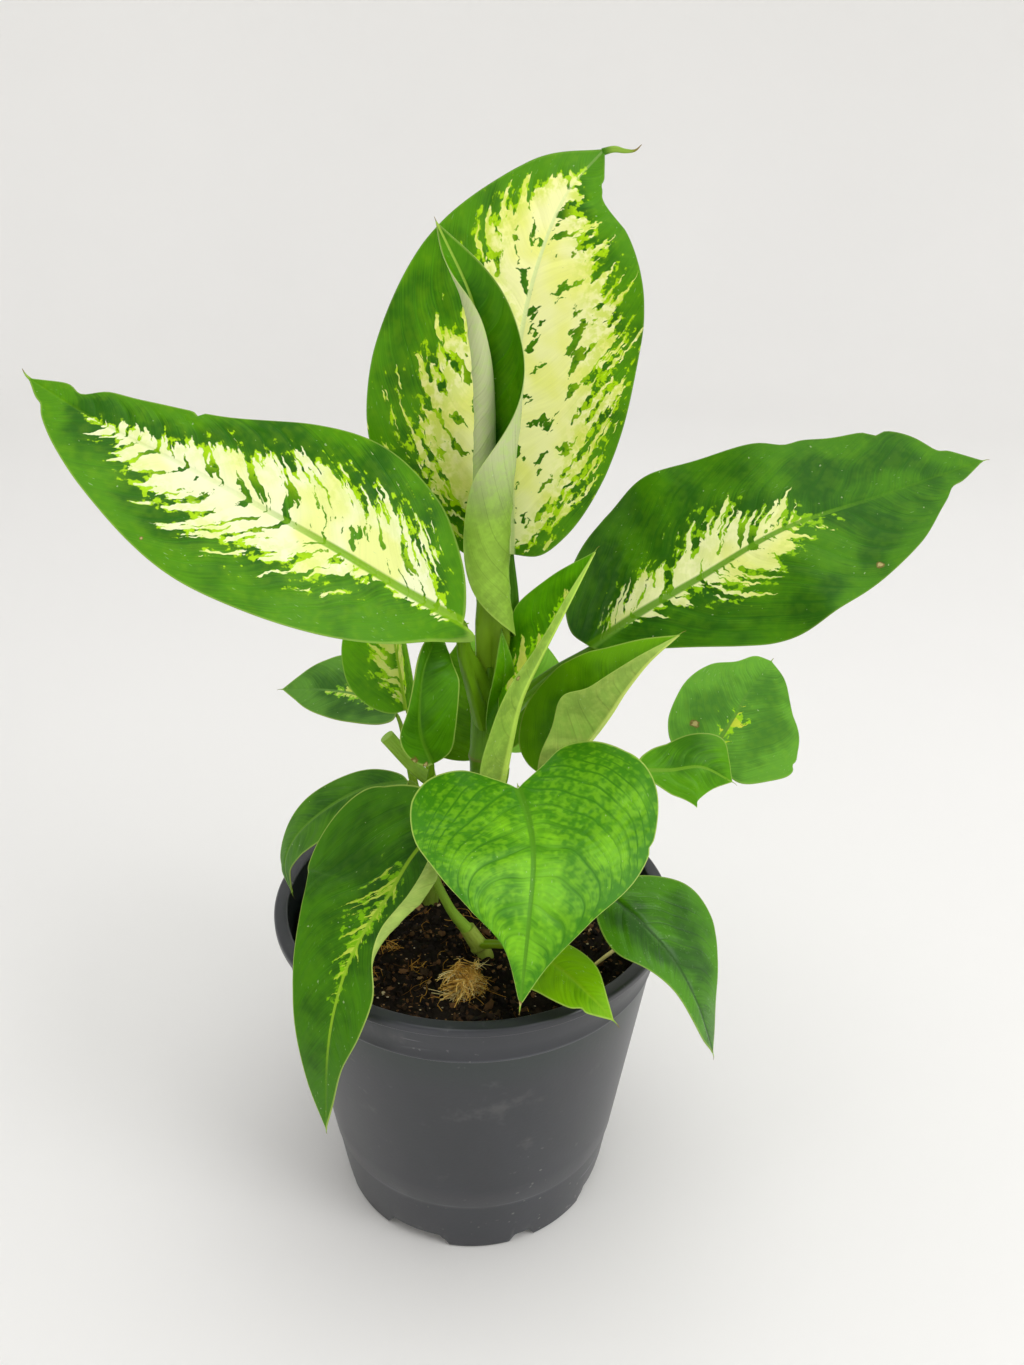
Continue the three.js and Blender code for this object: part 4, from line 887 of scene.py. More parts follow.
def pot_material():
    """Dull dark plastic with faint flow marks, dust, smears and scratches, painted shade on the inner wall
    and a painted highlight along the steps.
    """
    n = Nodes("pot_plastic")
    place = n.place()
    wide = n.noise(place, 18.0, 3.0)
    fine = n.noise(place, 900.0, 2.0)
    flow = n.noise(n.stretched(place, 60.0, 60.0, 6.0), 1.0, 3.0)
    colour = n.mix(n.ramp(wide, 0.35, 0.65), rgb(40, 42, 47), rgb(49, 51, 57))
    colour = n.lighten(colour, n.swing(flow, 0.0625))
    # Painted shade: the inner wall that can be seen is painted darker and greener.
    colour = n.paint(colour, n.value("inside"), 0.8, 34, 44, 42)
    dust = n.times(n.ramp(n.noise(place, 420.0, 1.0), 0.70, 0.76), n.ramp(wide, 0.42, 0.62))
    smear = n.times(n.ramp(n.noise(place, 60.0, 4.0, 0.65), 0.58, 0.74), 0.10)
    colour = n.mix(n.add(n.times(dust, 0.5), smear), colour, rgb(168, 168, 164))
    scratch = n.ramp(n.noise(n.stretched(place, 30.0, 30.0, 420.0), 1.0, 1.0), 0.735, 0.76)
    colour = n.paint(colour, n.times(scratch, n.ramp(wide, 0.5, 0.6)), 0.4, 150, 152, 156)
    height_here = n.node("SeparateXYZ", {0: place}, 2)
    # Painted highlight: a thin lighter line along each step, broken up by the flow marks.
    for step, strength in ((LOWER_STEP_Z, 0.4), (UPPER_STEP_Z + 0.6, 0.3)):
        off = n.math("ABSOLUTE", n.add(height_here, -step * MM))
        scuffed = n.times(n.ramp(off, 0.55 * MM, 0.15 * MM), n.ramp(flow, 0.25, 0.6))
        colour = n.paint(colour, scuffed, strength, 112, 114, 120)
    roughness = n.add(n.times(wide, 0.14), n.add(n.times(n.add(dust, smear), 0.3), 0.27))
    return n.finish(colour, n.add(fine, n.times(flow, 1.5)), 0.06 * MM, 0.35, roughness)


def earth_material(name, tones, grit=0.275):
    """Crumbs and fibres whose tone, from 0 to 1, picks a colour out of a row of them."""
    n = Nodes(name, 0.92, 0.2)
    place = n.place()
    rough = n.noise(place, 900.0, 4.0, 0.7)
    wide = n.noise(place, 160.0, 3.0, 0.6)
    tone = n.add(n.value("tone"), n.swing(wide, 0.0875))
    ramp = n.tree.nodes.new("ShaderNodeValToRGB")
    n.put(ramp.inputs["Fac"], tone)
    stops = ramp.color_ramp.elements
    while len(stops) < len(tones):
        stops.new(0.5)
    for stop, (position, colour) in zip(stops, tones):
        stop.position = position
        stop.color = rgb(*colour)
    colour = n.lighten(ramp.outputs["Color"], n.swing(rough, grit))
    return n.finish(colour, rough, 0.5 * MM, 0.8)


EARTH = ((0.0, (16, 12, 9)), (0.3, (38, 29, 20)), (0.55, (72, 52, 33)), (0.75, (118, 84, 52)),
         (0.88, (176, 140, 92)), (1.0, (226, 210, 176)))
STRAW = ((0.0, (98, 64, 24)), (0.35, (206, 154, 64)), (0.7, (246, 206, 110)), (1.0, (255, 238, 170)))
STRAW_GRIT = 0.125

# ---- the pot

POT_SIDES = 360
INSIDE_FROM = 80  # the inner wall that can be seen starts above this height
RAISED_LINE = ((0.15, 0), (0.35, 0.15), (0.6, 0.2), (0.85, 0.12), (1.1, 0))  # above the upper step: up, out


def taper(z):
    return FOOT_RADIUS + (NECK_RADIUS - 2 * BAND_STEP - FOOT_RADIUS) * z / (POT_HEIGHT - LIP_HEIGHT)


def outside(z):
    return taper(z) + BAND_STEP * ((z > LOWER_STEP_Z) + (z > UPPER_STEP_Z))


def arc(centre, radius, start, end, count=6):
    angles = np.radians(np.linspace(start, end, count))
    return [(centre[0] + radius * math.cos(a), centre[1] + radius * math.sin(a)) for a in angles]


def notch_height(angle):
    """How far the foot ring is cut away at an angle, in degrees."""
    height = 0
    for first, bottom, top, full in NOTCHES:
        aside = min(abs((angle - first - 90 * i + 180) % 360 - 180) for i in range(4))
        aside = math.radians(aside) * FOOT_RADIUS
        height = max(height, full * min(max((bottom / 2 - aside) / ((bottom - top) / 2), 0), 1))
    return height


def pot_profile():
    """Radius and height from the middle of the underside, out, over the lip and in to the floor's middle."""
    wall_top = POT_HEIGHT - LIP_HEIGHT
    ring_inside = FOOT_RADIUS - FOOT_RING_WIDTH
    floor_top = FLOOR_Z + WALL
    lip_inside = RIM_RADIUS - LIP_WIDTH
    profile = [(radius, FLOOR_Z) for radius in (0.01, 12, 24, 34, ring_inside - 0.5)]
    profile += [(ring_inside, FLOOR_Z - 0.5), (ring_inside, 0.3), (ring_inside + 0.3, 0)]
    profile += arc((FOOT_RADIUS - 0.6, 0.6), 0.6, -90, 0)
    heights = [3, 8, 14, 20, LOWER_STEP_Z - 0.5, LOWER_STEP_Z + 0.5, 30, 45, 60, 75, 86, UPPER_STEP_Z]
    profile += [(outside(z), z) for z in heights]
    profile += [(outside(UPPER_STEP_Z + up) + out, UPPER_STEP_Z + up) for up, out in RAISED_LINE]
    profile += [(outside(z), z) for z in (94, wall_top - 0.8)]
    profile += arc((outside(wall_top) + 0.7, wall_top - 0.7), 0.7, 180, 90, 4)
    profile += arc((RIM_RADIUS - 0.5, wall_top + 0.5), 0.5, -90, 0, 5)
    profile += arc((RIM_RADIUS - 0.9, POT_HEIGHT - 0.9), 0.9, 0, 90, 8)
    profile += arc((lip_inside + 0.8, POT_HEIGHT - 0.8), 0.8, 90, 180, 7)
    profile += [(lip_inside - 0.3, POT_HEIGHT - 4), (taper(UPPER_STEP_Z) - WALL, UPPER_STEP_Z)]
    profile += [(taper(floor_top) - WALL, floor_top), (20, floor_top), (0.01, floor_top)]
    return np.array(profile)


def make_pot():
    profile = pot_profile()
    points = []
    for k in range(POT_SIDES):
        angle = k * 360 / POT_SIDES
        cut = notch_height(angle)
        turn = math.radians(angle)
        for radius, z in profile:
            z = max(z, cut) if z < FLOOR_Z else z
            points.append((radius * math.cos(turn), radius * math.sin(turn), z))
    count = len(profile)
    faces = []
    for k in range(POT_SIDES):
        a, b = k * count, ((k + 1) % POT_SIDES) * count
        faces += [(a + i, b + i, b + i + 1, a + i + 1) for i in range(count - 1)]
    faces.append([k * count for k in range(POT_SIDES)][::-1])
    faces.append([k * count + count - 1 for k in range(POT_SIDES)])
    inner = (profile[:, 0] < RIM_RADIUS - LIP_WIDTH + 0.4) & (profile[:, 1] > INSIDE_FROM)
    parts = Parts(inside=0)
    parts.add(points, faces, inside=np.tile(inner, POT_SIDES))
    pot = parts.piece("nursery_pot", pot_material(), 35)
    cut_drain_holes(pot)
    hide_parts("pot")


def cut_drain_holes(pot):
    cutter = bmesh.new()
    for i in range(DRAIN_HOLES):
        turn, reach = FULL_TURN * (i + 0.5) / DRAIN_HOLES, DRAIN_CIRCLE_RADIUS
        centre = (reach * math.cos(turn), reach * math.sin(turn), FLOOR_Z + WALL / 2)
        radius = DRAIN_HOLE_RADIUS * MM
        made = bmesh.ops.create_cone(cutter, cap_ends=True, segments=32, radius1=radius, radius2=radius,
                                     depth=3 * WALL * MM)
        bmesh.ops.translate(cutter, verts=made["verts"], vec=Vector(placed(centre)))
    mesh = bpy.data.meshes.new("drain_cutter")
    cutter.to_mesh(mesh)
    cutter.free()
    tool = linked("drain_cutter", mesh)
    boolean = pot.modifiers.new("drain_holes", "BOOLEAN")
    boolean.operation = "DIFFERENCE"
    boolean.object = tool
    boolean.solver = "EXACT"
    bpy.context.view_layer.objects.active = pot
    pot.select_set(True)
    bpy.ops.object.modifier_apply(modifier=boolean.name)
    bpy.data.objects.remove(tool)


# ---- potting mix and fibre

SOIL_RINGS, SOIL_SIDES = 120, 320
SOIL_SAG_FROM = 51  # the mix sinks a little from this radius out to the wall
CRUMBS, PALE_FLECKS, CRUMB_REACH = 2700, 900, 51.5
DARK_TONES = (0.02, 0.1, 0.18, 0.26, 0.34, 0.44, 0.58, 0.68)
FIBRES, FIBRE_REACH, FIBRE_LIMIT = 190, 47, 52
FIBRE_HEAPS = ((-24, -18, 26), (-14, -26, 14), (-30, -30, 16), (30, -22, 14), (12, 34, 14), (-36, 12, 14))
STICK = [(44, -18, 97.6), (40, -23, 98.4), (35, -28, 97.9)]
TUFT_CENTRE = np.array([TUFT_AT[0] + 0.6, TUFT_AT[1] - 1.5, SOIL_TOP + 1.6])
TUFT_BUNDLES, BUNDLE_STRANDS = 30, 15


def lumps(x, y):
    """Height of the mix's surface at a place, in mm."""
    swell = 0.9 * (math.sin(x / 7 + 1) * math.cos(y / 8) + 0.5 * math.sin((x + 2 * y) / 9))
    coarse = noise.fractal(Vector((x / 6, y / 6, 1)), 0.8, 2.0, 3)
    small = noise.fractal(Vector((x / 1.5, y / 1.5, 7)), 0.6, 2.0, 4) * 0.95
    return SOIL_TOP + swell + coarse + small


def make_soil():
    points = []
    for i in range(SOIL_RINGS + 1):
        radius = max(SOIL_RADIUS * i / SOIL_RINGS, 0.05)
        sag = 1.2 * max(0, (radius - SOIL_SAG_FROM) / 3)
        points += [(x, y, lumps(x, y) - sag) for x, y, _ in ring(radius, 0, SOIL_SIDES)]
    bottom_radius = taper(SOIL_BOTTOM) - WALL - 0.4
    below = ((SOIL_RADIUS - 0.2, SOIL_TOP - 8), (bottom_radius, SOIL_BOTTOM), (0.05, SOIL_BOTTOM))
    for radius, z in below:
        points += ring(radius, z, SOIL_SIDES)
    rows = SOIL_RINGS + 1 + len(below)
    faces = [face[::-1] for face in grid_faces(rows, SOIL_SIDES, closed=True)]
    faces.append(list(range(SOIL_SIDES)))
    faces.append([(rows - 1) * SOIL_SIDES + k for k in range(SOIL_SIDES)][::-1])
    parts = Parts(tone=0.12)
    parts.add(points, faces)
    soil = parts.piece("potting_mix_bed", earth_material("potting_mix", EARTH), 80)
    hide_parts("potting_mix")


def unit_ball():
    ball = bmesh.new()
    bmesh.ops.create_icosphere(ball, subdivisions=2, radius=1)
    points = np.array([v.co for v in ball.verts])
    faces = [[v.index for v in f.verts] for f in ball.faces]
    ball.free()
    return points, faces


def somewhere(rng, radius):
    """A random place on the mix."""
    turn, reach = rng.uniform(0, FULL_TURN), radius * math.sqrt(rng.random())
    return reach * math.cos(turn), reach * math.sin(turn)


def make_crumbs():
    """Dented crumbs, thin flakes and small pale flecks."""
    rng = random.Random(4)
    ball, faces = unit_ball()
    parts = Parts(tone=0.2)
    for i in range(CRUMBS):
        x, y = somewhere(rng, CRUMB_REACH)
        flake = rng.random() < 0.2
        size = rng.uniform(0.25, 0.75) * (1.9 if rng.random() < 0.1 else 1) * (1.6 if flake else 1)
        height = (0.18, 0.3) if flake else (0.5, 1)
        shape = np.array([rng.uniform(0.7, 1.6), rng.uniform(0.6, 1.1), rng.uniform(*height)])
        offset = Vector((i * 3.1, 0, 0))
        dents = np.array([noise.noise(Vector(p) * 1.3 + offset) for p in ball])
        points = ball * (1 + 1.1 * dents[:, None]) * shape * size
        turn, lean = rng.uniform(0, FULL_TURN), rng.uniform(-0.6, 0.6)
        points = points @ np.array(Matrix.Rotation(lean, 3, "Y")) @ np.array(Matrix.Rotation(-turn, 3, "Z"))
        tone = rng.choice(DARK_TONES) if rng.random() < 0.965 else rng.uniform(0.8, 0.95)
        parts.add(points + (x, y, lumps(x, y) + size * shape[2] * 0.3), faces, tone=tone)
    for _ in range(PALE_FLECKS):
        x, y = somewhere(rng, CRUMB_REACH)
        size = rng.uniform(0.1, 0.26)
        shape = (rng.uniform(0.7, 2.4), rng.uniform(0.6, 1.2), 0.7)
        parts.add(ball * shape * size + (x, y, lumps(x, y) + size * 0.8), faces, tone=rng.uniform(0.7, 1))
    crumbs = parts.piece("potting_mix_crumbs", earth_material("potting_mix_crumbs", EARTH), 40)


def wandering_path(rng, x, y):
    """A path over the mix that turns a little at every step and stops at the wall."""
    heading = rng.uniform(0, FULL_TURN)
    path = []
    for _ in range(5):
        path.append((x, y, lumps(x, y) + rng.uniform(0.1, 1.1)))
        heading += rng.uniform(-0.6, 0.6)
        step = rng.uniform(1.0, 2.8)
        x, y = x + step * math.cos(heading), y + step * math.sin(heading)
        if math.hypot(x, y) > FIBRE_LIMIT:
            break
    return path


def make_soil_fibres():
    """Single fibres all over the mix, small heaps of them, and one stick."""
    rng = random.Random(11)
    parts = Parts(tone=0.6)
    for _ in range(FIBRES):
        path = wandering_path(rng, *somewhere(rng, FIBRE_REACH))
        if len(path) < 3:
            continue
        radius = rng.uniform(0.05, 0.11)
        parts.add_strand(path, (radius, radius * 0.8, radius * 0.3), 12, rng.uniform(-0.1, 0.4))
    for x, y, count in FIBRE_HEAPS:
        for _ in range(count):
            heading, reach = rng.uniform(0, math.pi), rng.uniform(1.0, 3.2)
            middle = np.array([x + rng.gauss(0, 1.6), y + rng.gauss(0, 1.4)])
            half = reach * np.array([math.cos(heading), math.sin(heading)])
            spots = (middle - half, middle, middle + half)
            path = [(a, b, lumps(a, b) + rng.uniform(0.2, 1.5)) for a, b in spots]
            parts.add_strand(path, (0.1, 0.12, 0.05), 8, rng.uniform(0, 0.5))
    parts.add_strand(STICK, (0.5, 0.6, 0.45), 14, 0.95, sides=8)
    fibres = parts.piece("potting_mix_fibres", earth_material("soil_fibre", STRAW, STRAW_GRIT))


def add_bundle(parts, rng, radii):
    """Strands that run about the same way, in a space whose unit is the tuft's radii."""
    middle = np.array([rng.gauss(0, 0.36), rng.gauss(0, 0.36), rng.uniform(0, 1.0)])
    heading, rise = rng.gauss(0.9, 0.9), rng.gauss(0, 0.35)
    along = np.array([math.cos(heading), math.sin(heading), rise])
    aside = np.array([-math.sin(heading), math.cos(heading), 0])
    arch, sway, bundle_tone = rng.uniform(0.2, 0.6), rng.gauss(0, 0.3), rng.uniform(0.3, 0.85)
    for _ in range(BUNDLE_STRANDS):
        length, shift = rng.uniform(0.35, 0.85), rng.uniform(-0.2, 0.2)
        offset = np.array([rng.gauss(0, 0.12), rng.gauss(0, 0.12), rng.gauss(0, 0.1)])
        fan, lift, wiggle = rng.gauss(0, 0.3), rng.gauss(0, 0.2), rng.gauss(0, 0.1)
        path = []
        for t in (-1, -0.5, 0, 0.5, 1):
            side = (sway + fan) * t * t + wiggle * math.sin(4 * t)
            place = middle + offset + along * (t * length + shift) + aside * side
            place[2] += lift * t - (arch + lift * 0.3) * t * t
            x, y, z = TUFT_CENTRE + place * radii
            path.append((x, y, max(z, SOIL_TOP - 0.2)))
        radius = rng.uniform(0.07, 0.14)
        parts.add_strand(path, (radius, radius, radius * 0.5), 12, bundle_tone + rng.uniform(-0.25, 0.35))


def make_tuft():
    rng = random.Random(7)
    parts = Parts(tone=0.4)
    radii = np.array(TUFT_RADII)
    ball, faces = unit_ball()
    # A dark ball inside the strands: painted shade in the gaps between them.
    parts.add(ball * radii * (0.62, 0.62, 0.5) + TUFT_CENTRE, faces, tone=-0.2)
    for _ in range(TUFT_BUNDLES):
        add_bundle(parts, rng, radii)
    tuft = parts.piece("coconut_fibre_tuft", earth_material("coconut_fibre", STRAW, STRAW_GRIT))
    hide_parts("fibre_tuft")


# ---- stems

STEM_STEPS, STEM_SIDES = 110, 32
STUB_STEPS, STUB_SIDES = 60, 24


def make_stem(name, path, radii, nodes):
    """A stem that is a little thicker and brown where it had leaves."""
    def outline(share, turn):
        knots = sum(bell(share - at, 0.014) for at in nodes)
        return 1 + 0.12 * knots + 0.03 * np.cos(3 * turn + 6 * share) + 0.02 * np.cos(7 * turn)

    points, faces, share = tube(path, radii, STEM_STEPS, STEM_SIDES, outline=outline)
    parts = Parts(share=0, turn=0, ring=0)
    parts.add(points, faces, share=share, turn=around(STEM_STEPS, STEM_SIDES),
              ring=sum(bell(share - at, 0.012) for at in nodes))
    low, high = STEM_COLOURS.get(name, STEM_COLOURS["others"])
    stem = parts.piece(name + "_skin", stem_material(name, low, high))
    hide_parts(name)


def make_cut_petiole():
    path, radii = CUT_PETIOLE
    points, faces, share = tube(path, radii, STUB_STEPS, STUB_SIDES,
                                outline=lambda share, turn: 1 - 0.2 * bell(turn, 0.6))
    points[-1] -= (points[-1] - points[-1 - STUB_SIDES]) * 0.3  # the cut end has dried hollow
    parts = Parts(share=0, turn=0, ring=0)
    parts.add(points, faces, share=share, turn=around(STUB_STEPS, STUB_SIDES),
              ring=0.6 * smooth(share, 0.98, 1.0))
    stub = parts.piece("cut_petiole_skin", stem_material("cut_petiole", (112, 160, 40), (150, 192, 66)))
    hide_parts("cut_petiole")


# ---- leaves

TIP_HALF_WIDTH = 0.15
ACROSS_STEPS = 24  # straight steps that a blade's cross-section is added up from
STALK_STEPS, STALK_SIDES = 56, 24
TAIL_STEPS, TAIL_SIDES = 20, 12
TAIL_RADIUS = 0.3
WING_GRID = (60, 24)


class Blade:
    """A blade's middle surface: a midrib curve with, along it, a cross-section that bends away."""

    def __init__(self, name, table):
        self.table = table
        self.rib = Curve(table["rib"])
        self.length = self.rib.length
        self.edges = [Curve([(a * self.length, w, 0) for a, w in margin]) for margin in table["margin"]]
        self.greatest = [max(w for _, w in margin) for margin in table["margin"]]
        self.hem = HEMS.get(name)
        self.nicks = NICKS.get(name, ())

    def directions(self, share):
        """The midrib's direction and the upper side's, square to it."""
        share = np.asarray(share, float)
        tangent = self.rib.tangent(share)
        base, tip = (np.array(face, float) for face in self.table["face"])
        face = base + (tip - base) * share[..., None]
        return tangent, unit(face - tangent * np.sum(face * tangent, axis=-1, keepdims=True))

    def bend(self, key, right, share):
        """The fold or curl at a share of the length, in radians, on the right half or the left."""
        left_values, right_values = self.table[key]
        base = np.where(right, right_values[0], left_values[0])
        return np.radians(base + (np.where(right, right_values[1], left_values[1]) - base) * share)

    def section(self, right, share, reach, half, half_here):
        """How far out and up a point is that lies reach from the midrib, measured over the surface."""
        fold, curl = self.bend("fold", right, share), self.bend("curl", right, share) / half
        if self.hem:
            side, first, last, begins, degrees = self.hem
            turned = np.radians(degrees) * (right == bool(side))
            turned = turned * smooth(share, first, first + 0.08) * smooth(share, last, last - 0.25)
        out, up = 0, 0
        for i in range(ACROSS_STEPS):
            at = reach * (i + 0.5) / ACROSS_STEPS
            angle = fold + curl * at
            if self.hem:
                angle = angle + turned * smooth(at / half_here, begins, 0.95)
            out = out + np.cos(angle) * reach / ACROSS_STEPS
            up = up + np.sin(angle) * reach / ACROSS_STEPS
        return out, up

    def place(self, along, across, half_here):
        share = np.clip(along / self.length, 0, 1)
        tangent, normal = self.directions(share)
        sideways = np.cross(tangent, normal)
        right, reach = across >= 0, np.abs(across)
        half = np.where(right, self.greatest[1], self.greatest[0])
        out, up = self.section(right, share, reach, half, half_here)
        size, count = self.table["wave"]
        up = up + size * np.sin(FULL_TURN * count * share + right) * (reach / half) ** 2
        centre = self.rib.at(share) + tangent * (along - share * self.length)[..., None]
        return centre + sideways * (np.sign(across) * out)[..., None] + normal * up[..., None]

    def grid(self, rows, columns):
        """Shares along and across, the half's width and the place along and across of each grid point."""
        u = np.linspace(0, 1, rows + 1)[:, None] * np.ones(columns + 1)
        t = np.linspace(-1, 1, columns + 1)[None, :] * np.ones((rows + 1, 1))
        v = np.sign(t) * np.abs(t) ** 1.2
        left, right = (edge.point(u[:, 0])[:, :2] for edge in self.edges)
        edge_along = np.where(v < 0, left[:, :1], right[:, :1])
        half = np.maximum(np.where(v < 0, left[:, 1:], right[:, 1:]), TIP_HALF_WIDTH)
        for side, share, depth, width in self.nicks:
            bite = depth * bell(edge_along - share * self.length, width / 2)
            half = np.where((v < 0) == (side == 0), np.maximum(half - bite, TIP_HALF_WIDTH), half)
        on_rib = self.length * u**1.15
        along = on_rib + (edge_along - on_rib) * np.abs(v) ** 1.4
        return u, v, half, along, v * half


def sheet_faces(rows, columns):
    """Faces of a closed sheet: a grid of points, the same grid below it, and the rim between them."""
    count = columns + 1
    layer = (rows + 1) * count
    faces = grid_faces(rows + 1, count)
    faces += [tuple(layer + i for i in face[::-1]) for face in faces]
    for i in range(rows):
        a, b = i * count, i * count + columns
        faces.append((a, a + count, layer + a + count, layer + a))
        faces.append((b + count, b, layer + b, layer + b + count))
    for j in range(columns):
        tip = rows * count + j
        faces.append((j + 1, j, layer + j, layer + j + 1))
        faces.append((tip, tip + 1, layer + tip + 1, layer + tip))
    return faces


def relief(u, v, from_rib, inset, start, vein, quilt, stalk_radius):
    """How far the upper and the lower side are from the middle surface: veins, pleats and the midrib."""
    fade = smooth(from_rib, 0.5, 4) * smooth(inset, 0, 5)
    vein_line = bell(np.abs(vein - np.round(vein)), 0.1) * fade
    pleat = (0.04 * np.cos(FULL_TURN * start / 2.2) + quilt * np.abs(np.sin(math.pi * vein))) * fade
    rib_fade = (1 - u) ** 0.7
    groove = (0.3 * rib_fade + 0.06) * bell(from_rib, 0.8 * rib_fade + 0.25)
    ridge = (stalk_radius * 1.1 * rib_fade + 0.1) * bell(from_rib, stalk_radius * rib_fade + 0.3)
    thickness = 0.24 - 0.13 * np.abs(v) ** 3
    return thickness - 0.2 * vein_line + pleat - groove, thickness + 0.16 * vein_line - pleat + ridge


def add_blade(parts, blade, looks, rows, columns, stalk_radius):
    u, v, half, along, across = blade.grid(rows, columns)
    middle = blade.place(along, across, half)
    down, over = np.gradient(middle, axis=0), np.gradient(middle, axis=1)
    normal = unit(np.cross(over, down) + 1e-12)

    from_rib, inset = np.abs(across), (1 - np.abs(v)) * half
    first, more = looks["sweep"]
    start = along - first * from_rib - more * from_rib * v**2
    start = start + 0.9 * np.sin(0.21 * across + 0.13 * along) + 0.5 * np.sin(0.5 * across - 0.3 * along + 2)
    vein = start * looks["veins"] / blade.length
    above, below = relief(u, v, from_rib, inset, start, vein, looks["quilt"], stalk_radius)
    top = middle + normal * above[..., None]
    bottom = middle - normal * below[..., None]

    left, right = (np.interp(u, *zip(*looks[key])) for key in ("cream_left", "cream_right"))
    rib_start, rib_end = looks["rib_width"]
    values = dict(start=start, vein=vein, across=across, along=along, inset=inset,
                  reach=np.where(v < 0, left, right) - np.abs(v),
                  rib_width=rib_start + (rib_end - rib_start) * u**0.6)
    both = {key: np.tile(value.ravel(), 2) for key, value in values.items()}
    points = np.vstack([top.reshape(-1, 3), bottom.reshape(-1, 3)])
    parts.add(points, sheet_faces(rows, columns), under=np.repeat([0, 1], u.size), **both)


def add_tail(parts, name, blade):
    """The tip's thread, a flattened tube."""
    tip, (tangent, normal) = blade.rib.at(1.0), blade.directions(1.0)
    ahead = ((-2.5, 0), (0, 0), (1.2, 0.1), (2.2, 0.5))
    straight = [tip + tangent * further - normal * lower for further, lower in ahead]
    path, radius = TAILS.get(name, (straight, TAIL_RADIUS))
    points, faces, share = tube(path, (radius, radius * 0.9, radius * 0.5, 0.06), TAIL_STEPS, TAIL_SIDES,
                                up=normal, outline=lambda share, turn: 1 - 0.65 * np.cos(turn) ** 2)
    parts.add(points, faces, tail=share, along=blade.length, across=4)


def stalk_outline(share, turn):
    """A groove along the upper side and, low on the stalk, the sheath's two wings beside it."""
    low = 1 - smooth(share, 0.35, 0.75)
    return 1 - (0.25 + 0.3 * low) * bell(turn, 0.6) + 0.3 * low * bell(np.abs(turn) - 1.1, 0.35)


def add_stalk(parts, blade, path, radii, runs_on):
    """The stalk, which runs on under the blade for a stretch of the midrib."""
    path, top_radius = [np.array(point, float) for point in path], radii[-1]
    _, up = blade.directions(0.0)
    if runs_on:
        path[-1] = path[-1] - up * top_radius * 0.85
        for share in (0.04, 0.08):
            _, normal = blade.directions(share)
            path.append(blade.rib.at(share) - normal * (top_radius * 0.95 + 0.1))
        radii = (*radii, top_radius * 0.75, top_radius * 0.4)
    points, faces, share = tube(path, radii, STALK_STEPS, STALK_SIDES, up=up, outline=stalk_outline)
    parts.add(points, faces, stalk=1, along_stalk=share, along=share * Curve(path).length,
              across=around(STALK_STEPS, STALK_SIDES) * 1.5)


def make_leaf(name, table, looks, seed):
    blade = Blade(name, table)
    path, radii = table["petiole"]
    parts = Parts(**LEAF_VALUES)
    rows, columns = LARGE_GRID if name in LARGE_LEAVES else SMALL_GRID
    add_blade(parts, blade, looks, rows, columns, radii[-1])
    add_tail(parts, name, blade)
    add_stalk(parts, blade, path, radii, name != "rolled_new_leaf")  # that one's is inside the roll
    if name == "crown_leaf_back":
        plain = dict(looks, cream_left=NO_CREAM, cream_right=NO_CREAM, rib_width=(0.01, 0.01))
        add_blade(parts, Blade("", SHEATH_WING), plain, *WING_GRID, 0.2)
    made = parts.piece(name + "_blade", leaf_material(name, looks, blade.length, seed), 55)
    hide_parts(name)
    slots = {s["node"]: s["material_slot"] for s in frame["record"]["subparts"]}


# ---- floor, light and camera

# The floor, in metres: how far it is flat, the radius and height of the curve up, and how far it lies lower
# than the pot's foot.
FLAT, BEND, BACKDROP, FLOOR_GAP = 1.3, 0.6, 1.2, 0.0003
FLOOR_SIDES = 96
LOOK_AT = (0, 0, 0.15)
WORLD_STRENGTH = 0.47
LIGHTS = (  # name, place, size in metres, power in watts
    ("overhead", (0.3, -0.2, 2.3), 2.4, 24.5),
    ("key", (1.0, -0.6, 0.9), 0.6, 5),
)


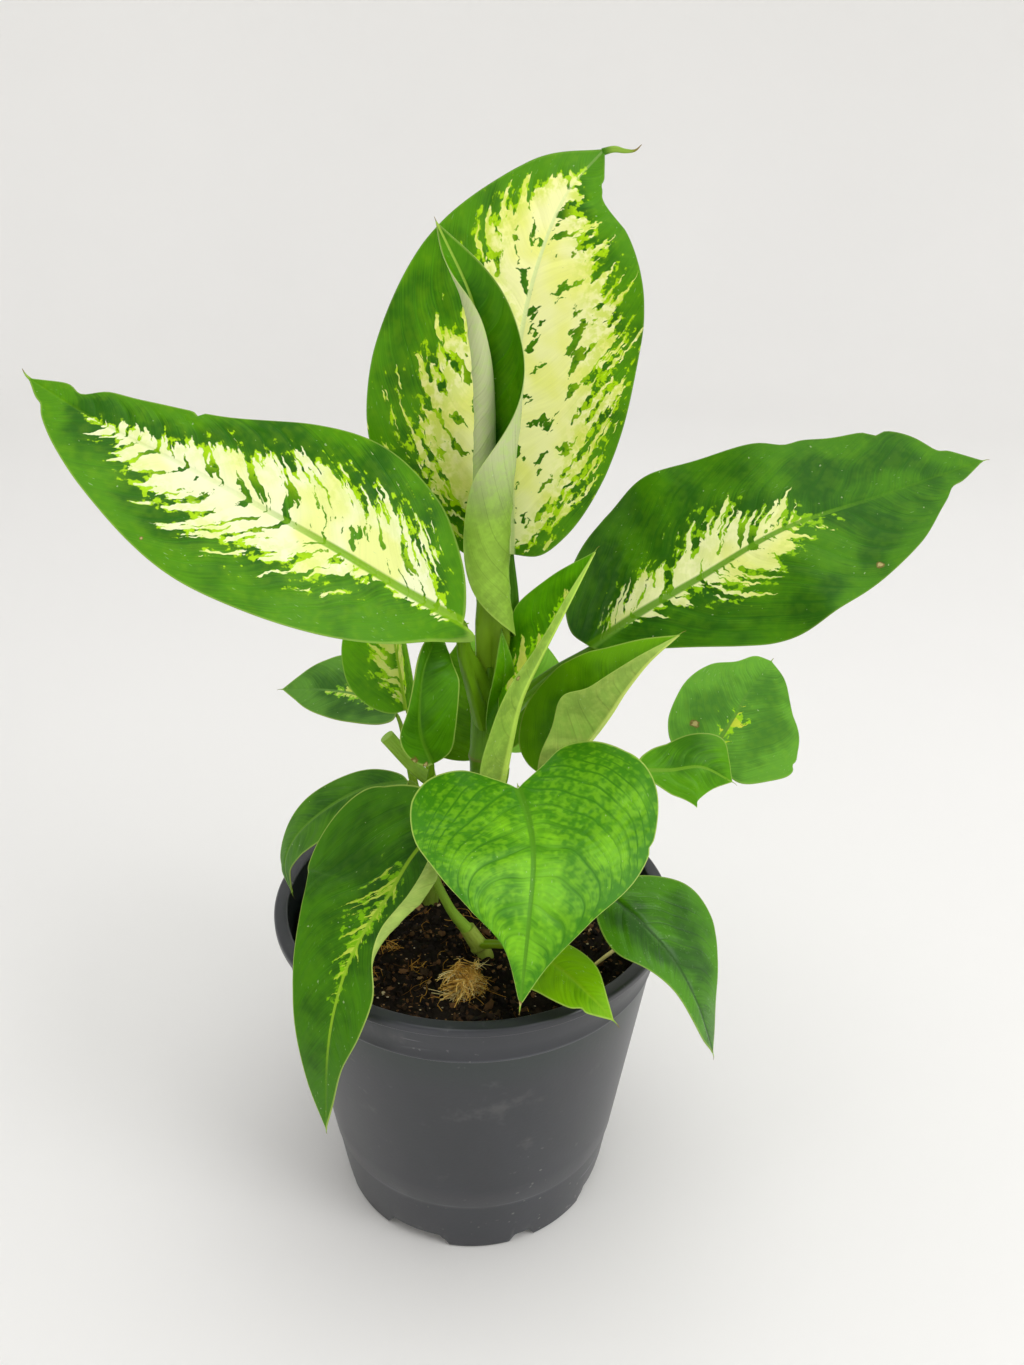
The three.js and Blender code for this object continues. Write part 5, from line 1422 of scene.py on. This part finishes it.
def make_floor():
    """A pale round floor whose far edge curves up on every side."""
    profile = [(0.001, 0), (0.3, 0), (0.7, 0), (FLAT, 0)]
    profile += arc((FLAT, BEND), BEND, -90, 0, 14)[1:]
    profile += [(FLAT + BEND, BEND + BACKDROP)]
    points = []
    for radius, z in profile:
        points += ring(radius, z - FLOOR_GAP, FLOOR_SIDES)
    faces = grid_faces(len(profile), FLOOR_SIDES, closed=True)
    mesh = bpy.data.meshes.new("floor")
    mesh.from_pydata(points, [], faces + [list(range(FLOOR_SIDES))])
    mesh.shade_smooth()
    n = Nodes("floor", 0.7)
    colour = n.mix(n.noise(n.place(), 3.0, 2.0), rgb(237, 236, 234), rgb(241, 240, 238))
    mesh.materials.append(n.finish(colour))
    linked("floor", mesh)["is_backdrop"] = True


def make_light():
    world = bpy.data.worlds.new("studio")
    world.use_nodes = True
    background = world.node_tree.nodes["Background"]
    background.inputs["Color"].default_value = (1, 1, 1, 1)
    background.inputs["Strength"].default_value = WORLD_STRENGTH
    bpy.context.scene.world = world
    for name, location, size, power in LIGHTS:
        light = bpy.data.lights.new(name, "AREA")
        light.shape = "DISK"
        light.size = size
        light.energy = power
        lamp = linked(name, light)
        lamp.location = location
        lamp.rotation_euler = (Vector(LOOK_AT) - Vector(location)).to_track_quat("-Z", "Y").to_euler()


def make_camera():
    camera = bpy.data.cameras.new("camera")
    camera.sensor_width = SENSOR
    camera.lens = FOCAL_LENGTH / PHOTO_HEIGHT * SENSOR
    camera.clip_start = 0.01
    seen = linked("camera", camera)
    pitch, roll = math.radians(CAMERA_PITCH), math.radians(CAMERA_ROLL)
    forward = Vector((0, math.cos(pitch), -math.sin(pitch)))
    level = Vector((1, 0, 0))
    above = level.cross(forward)
    right = level * math.cos(roll) + above * math.sin(roll)
    up = right.cross(forward)
    seen.rotation_mode = "QUATERNION"
    seen.rotation_quaternion = Matrix([right, up, -forward]).transposed().to_quaternion()
    seen.location = placed(CAMERA_AT)
    bpy.context.scene.camera = seen


make_camera()
make_floor()
make_light()
make_pot()
make_soil()
make_crumbs()
make_soil_fibres()
make_tuft()
for stem_name, (stem_path, stem_radii, stem_nodes) in STEMS.items():
    make_stem(stem_name, stem_path, stem_radii, stem_nodes)
make_cut_petiole()
for number, (leaf_name, leaf_table) in enumerate(LEAVES.items()):
    make_leaf(leaf_name, leaf_table, LOOKS[leaf_name], 10.0 * number)

bpy.context.scene.view_settings.view_transform = "Standard"

shown_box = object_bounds()
boxes = {"cad": cad_box, "visual": shown_box}
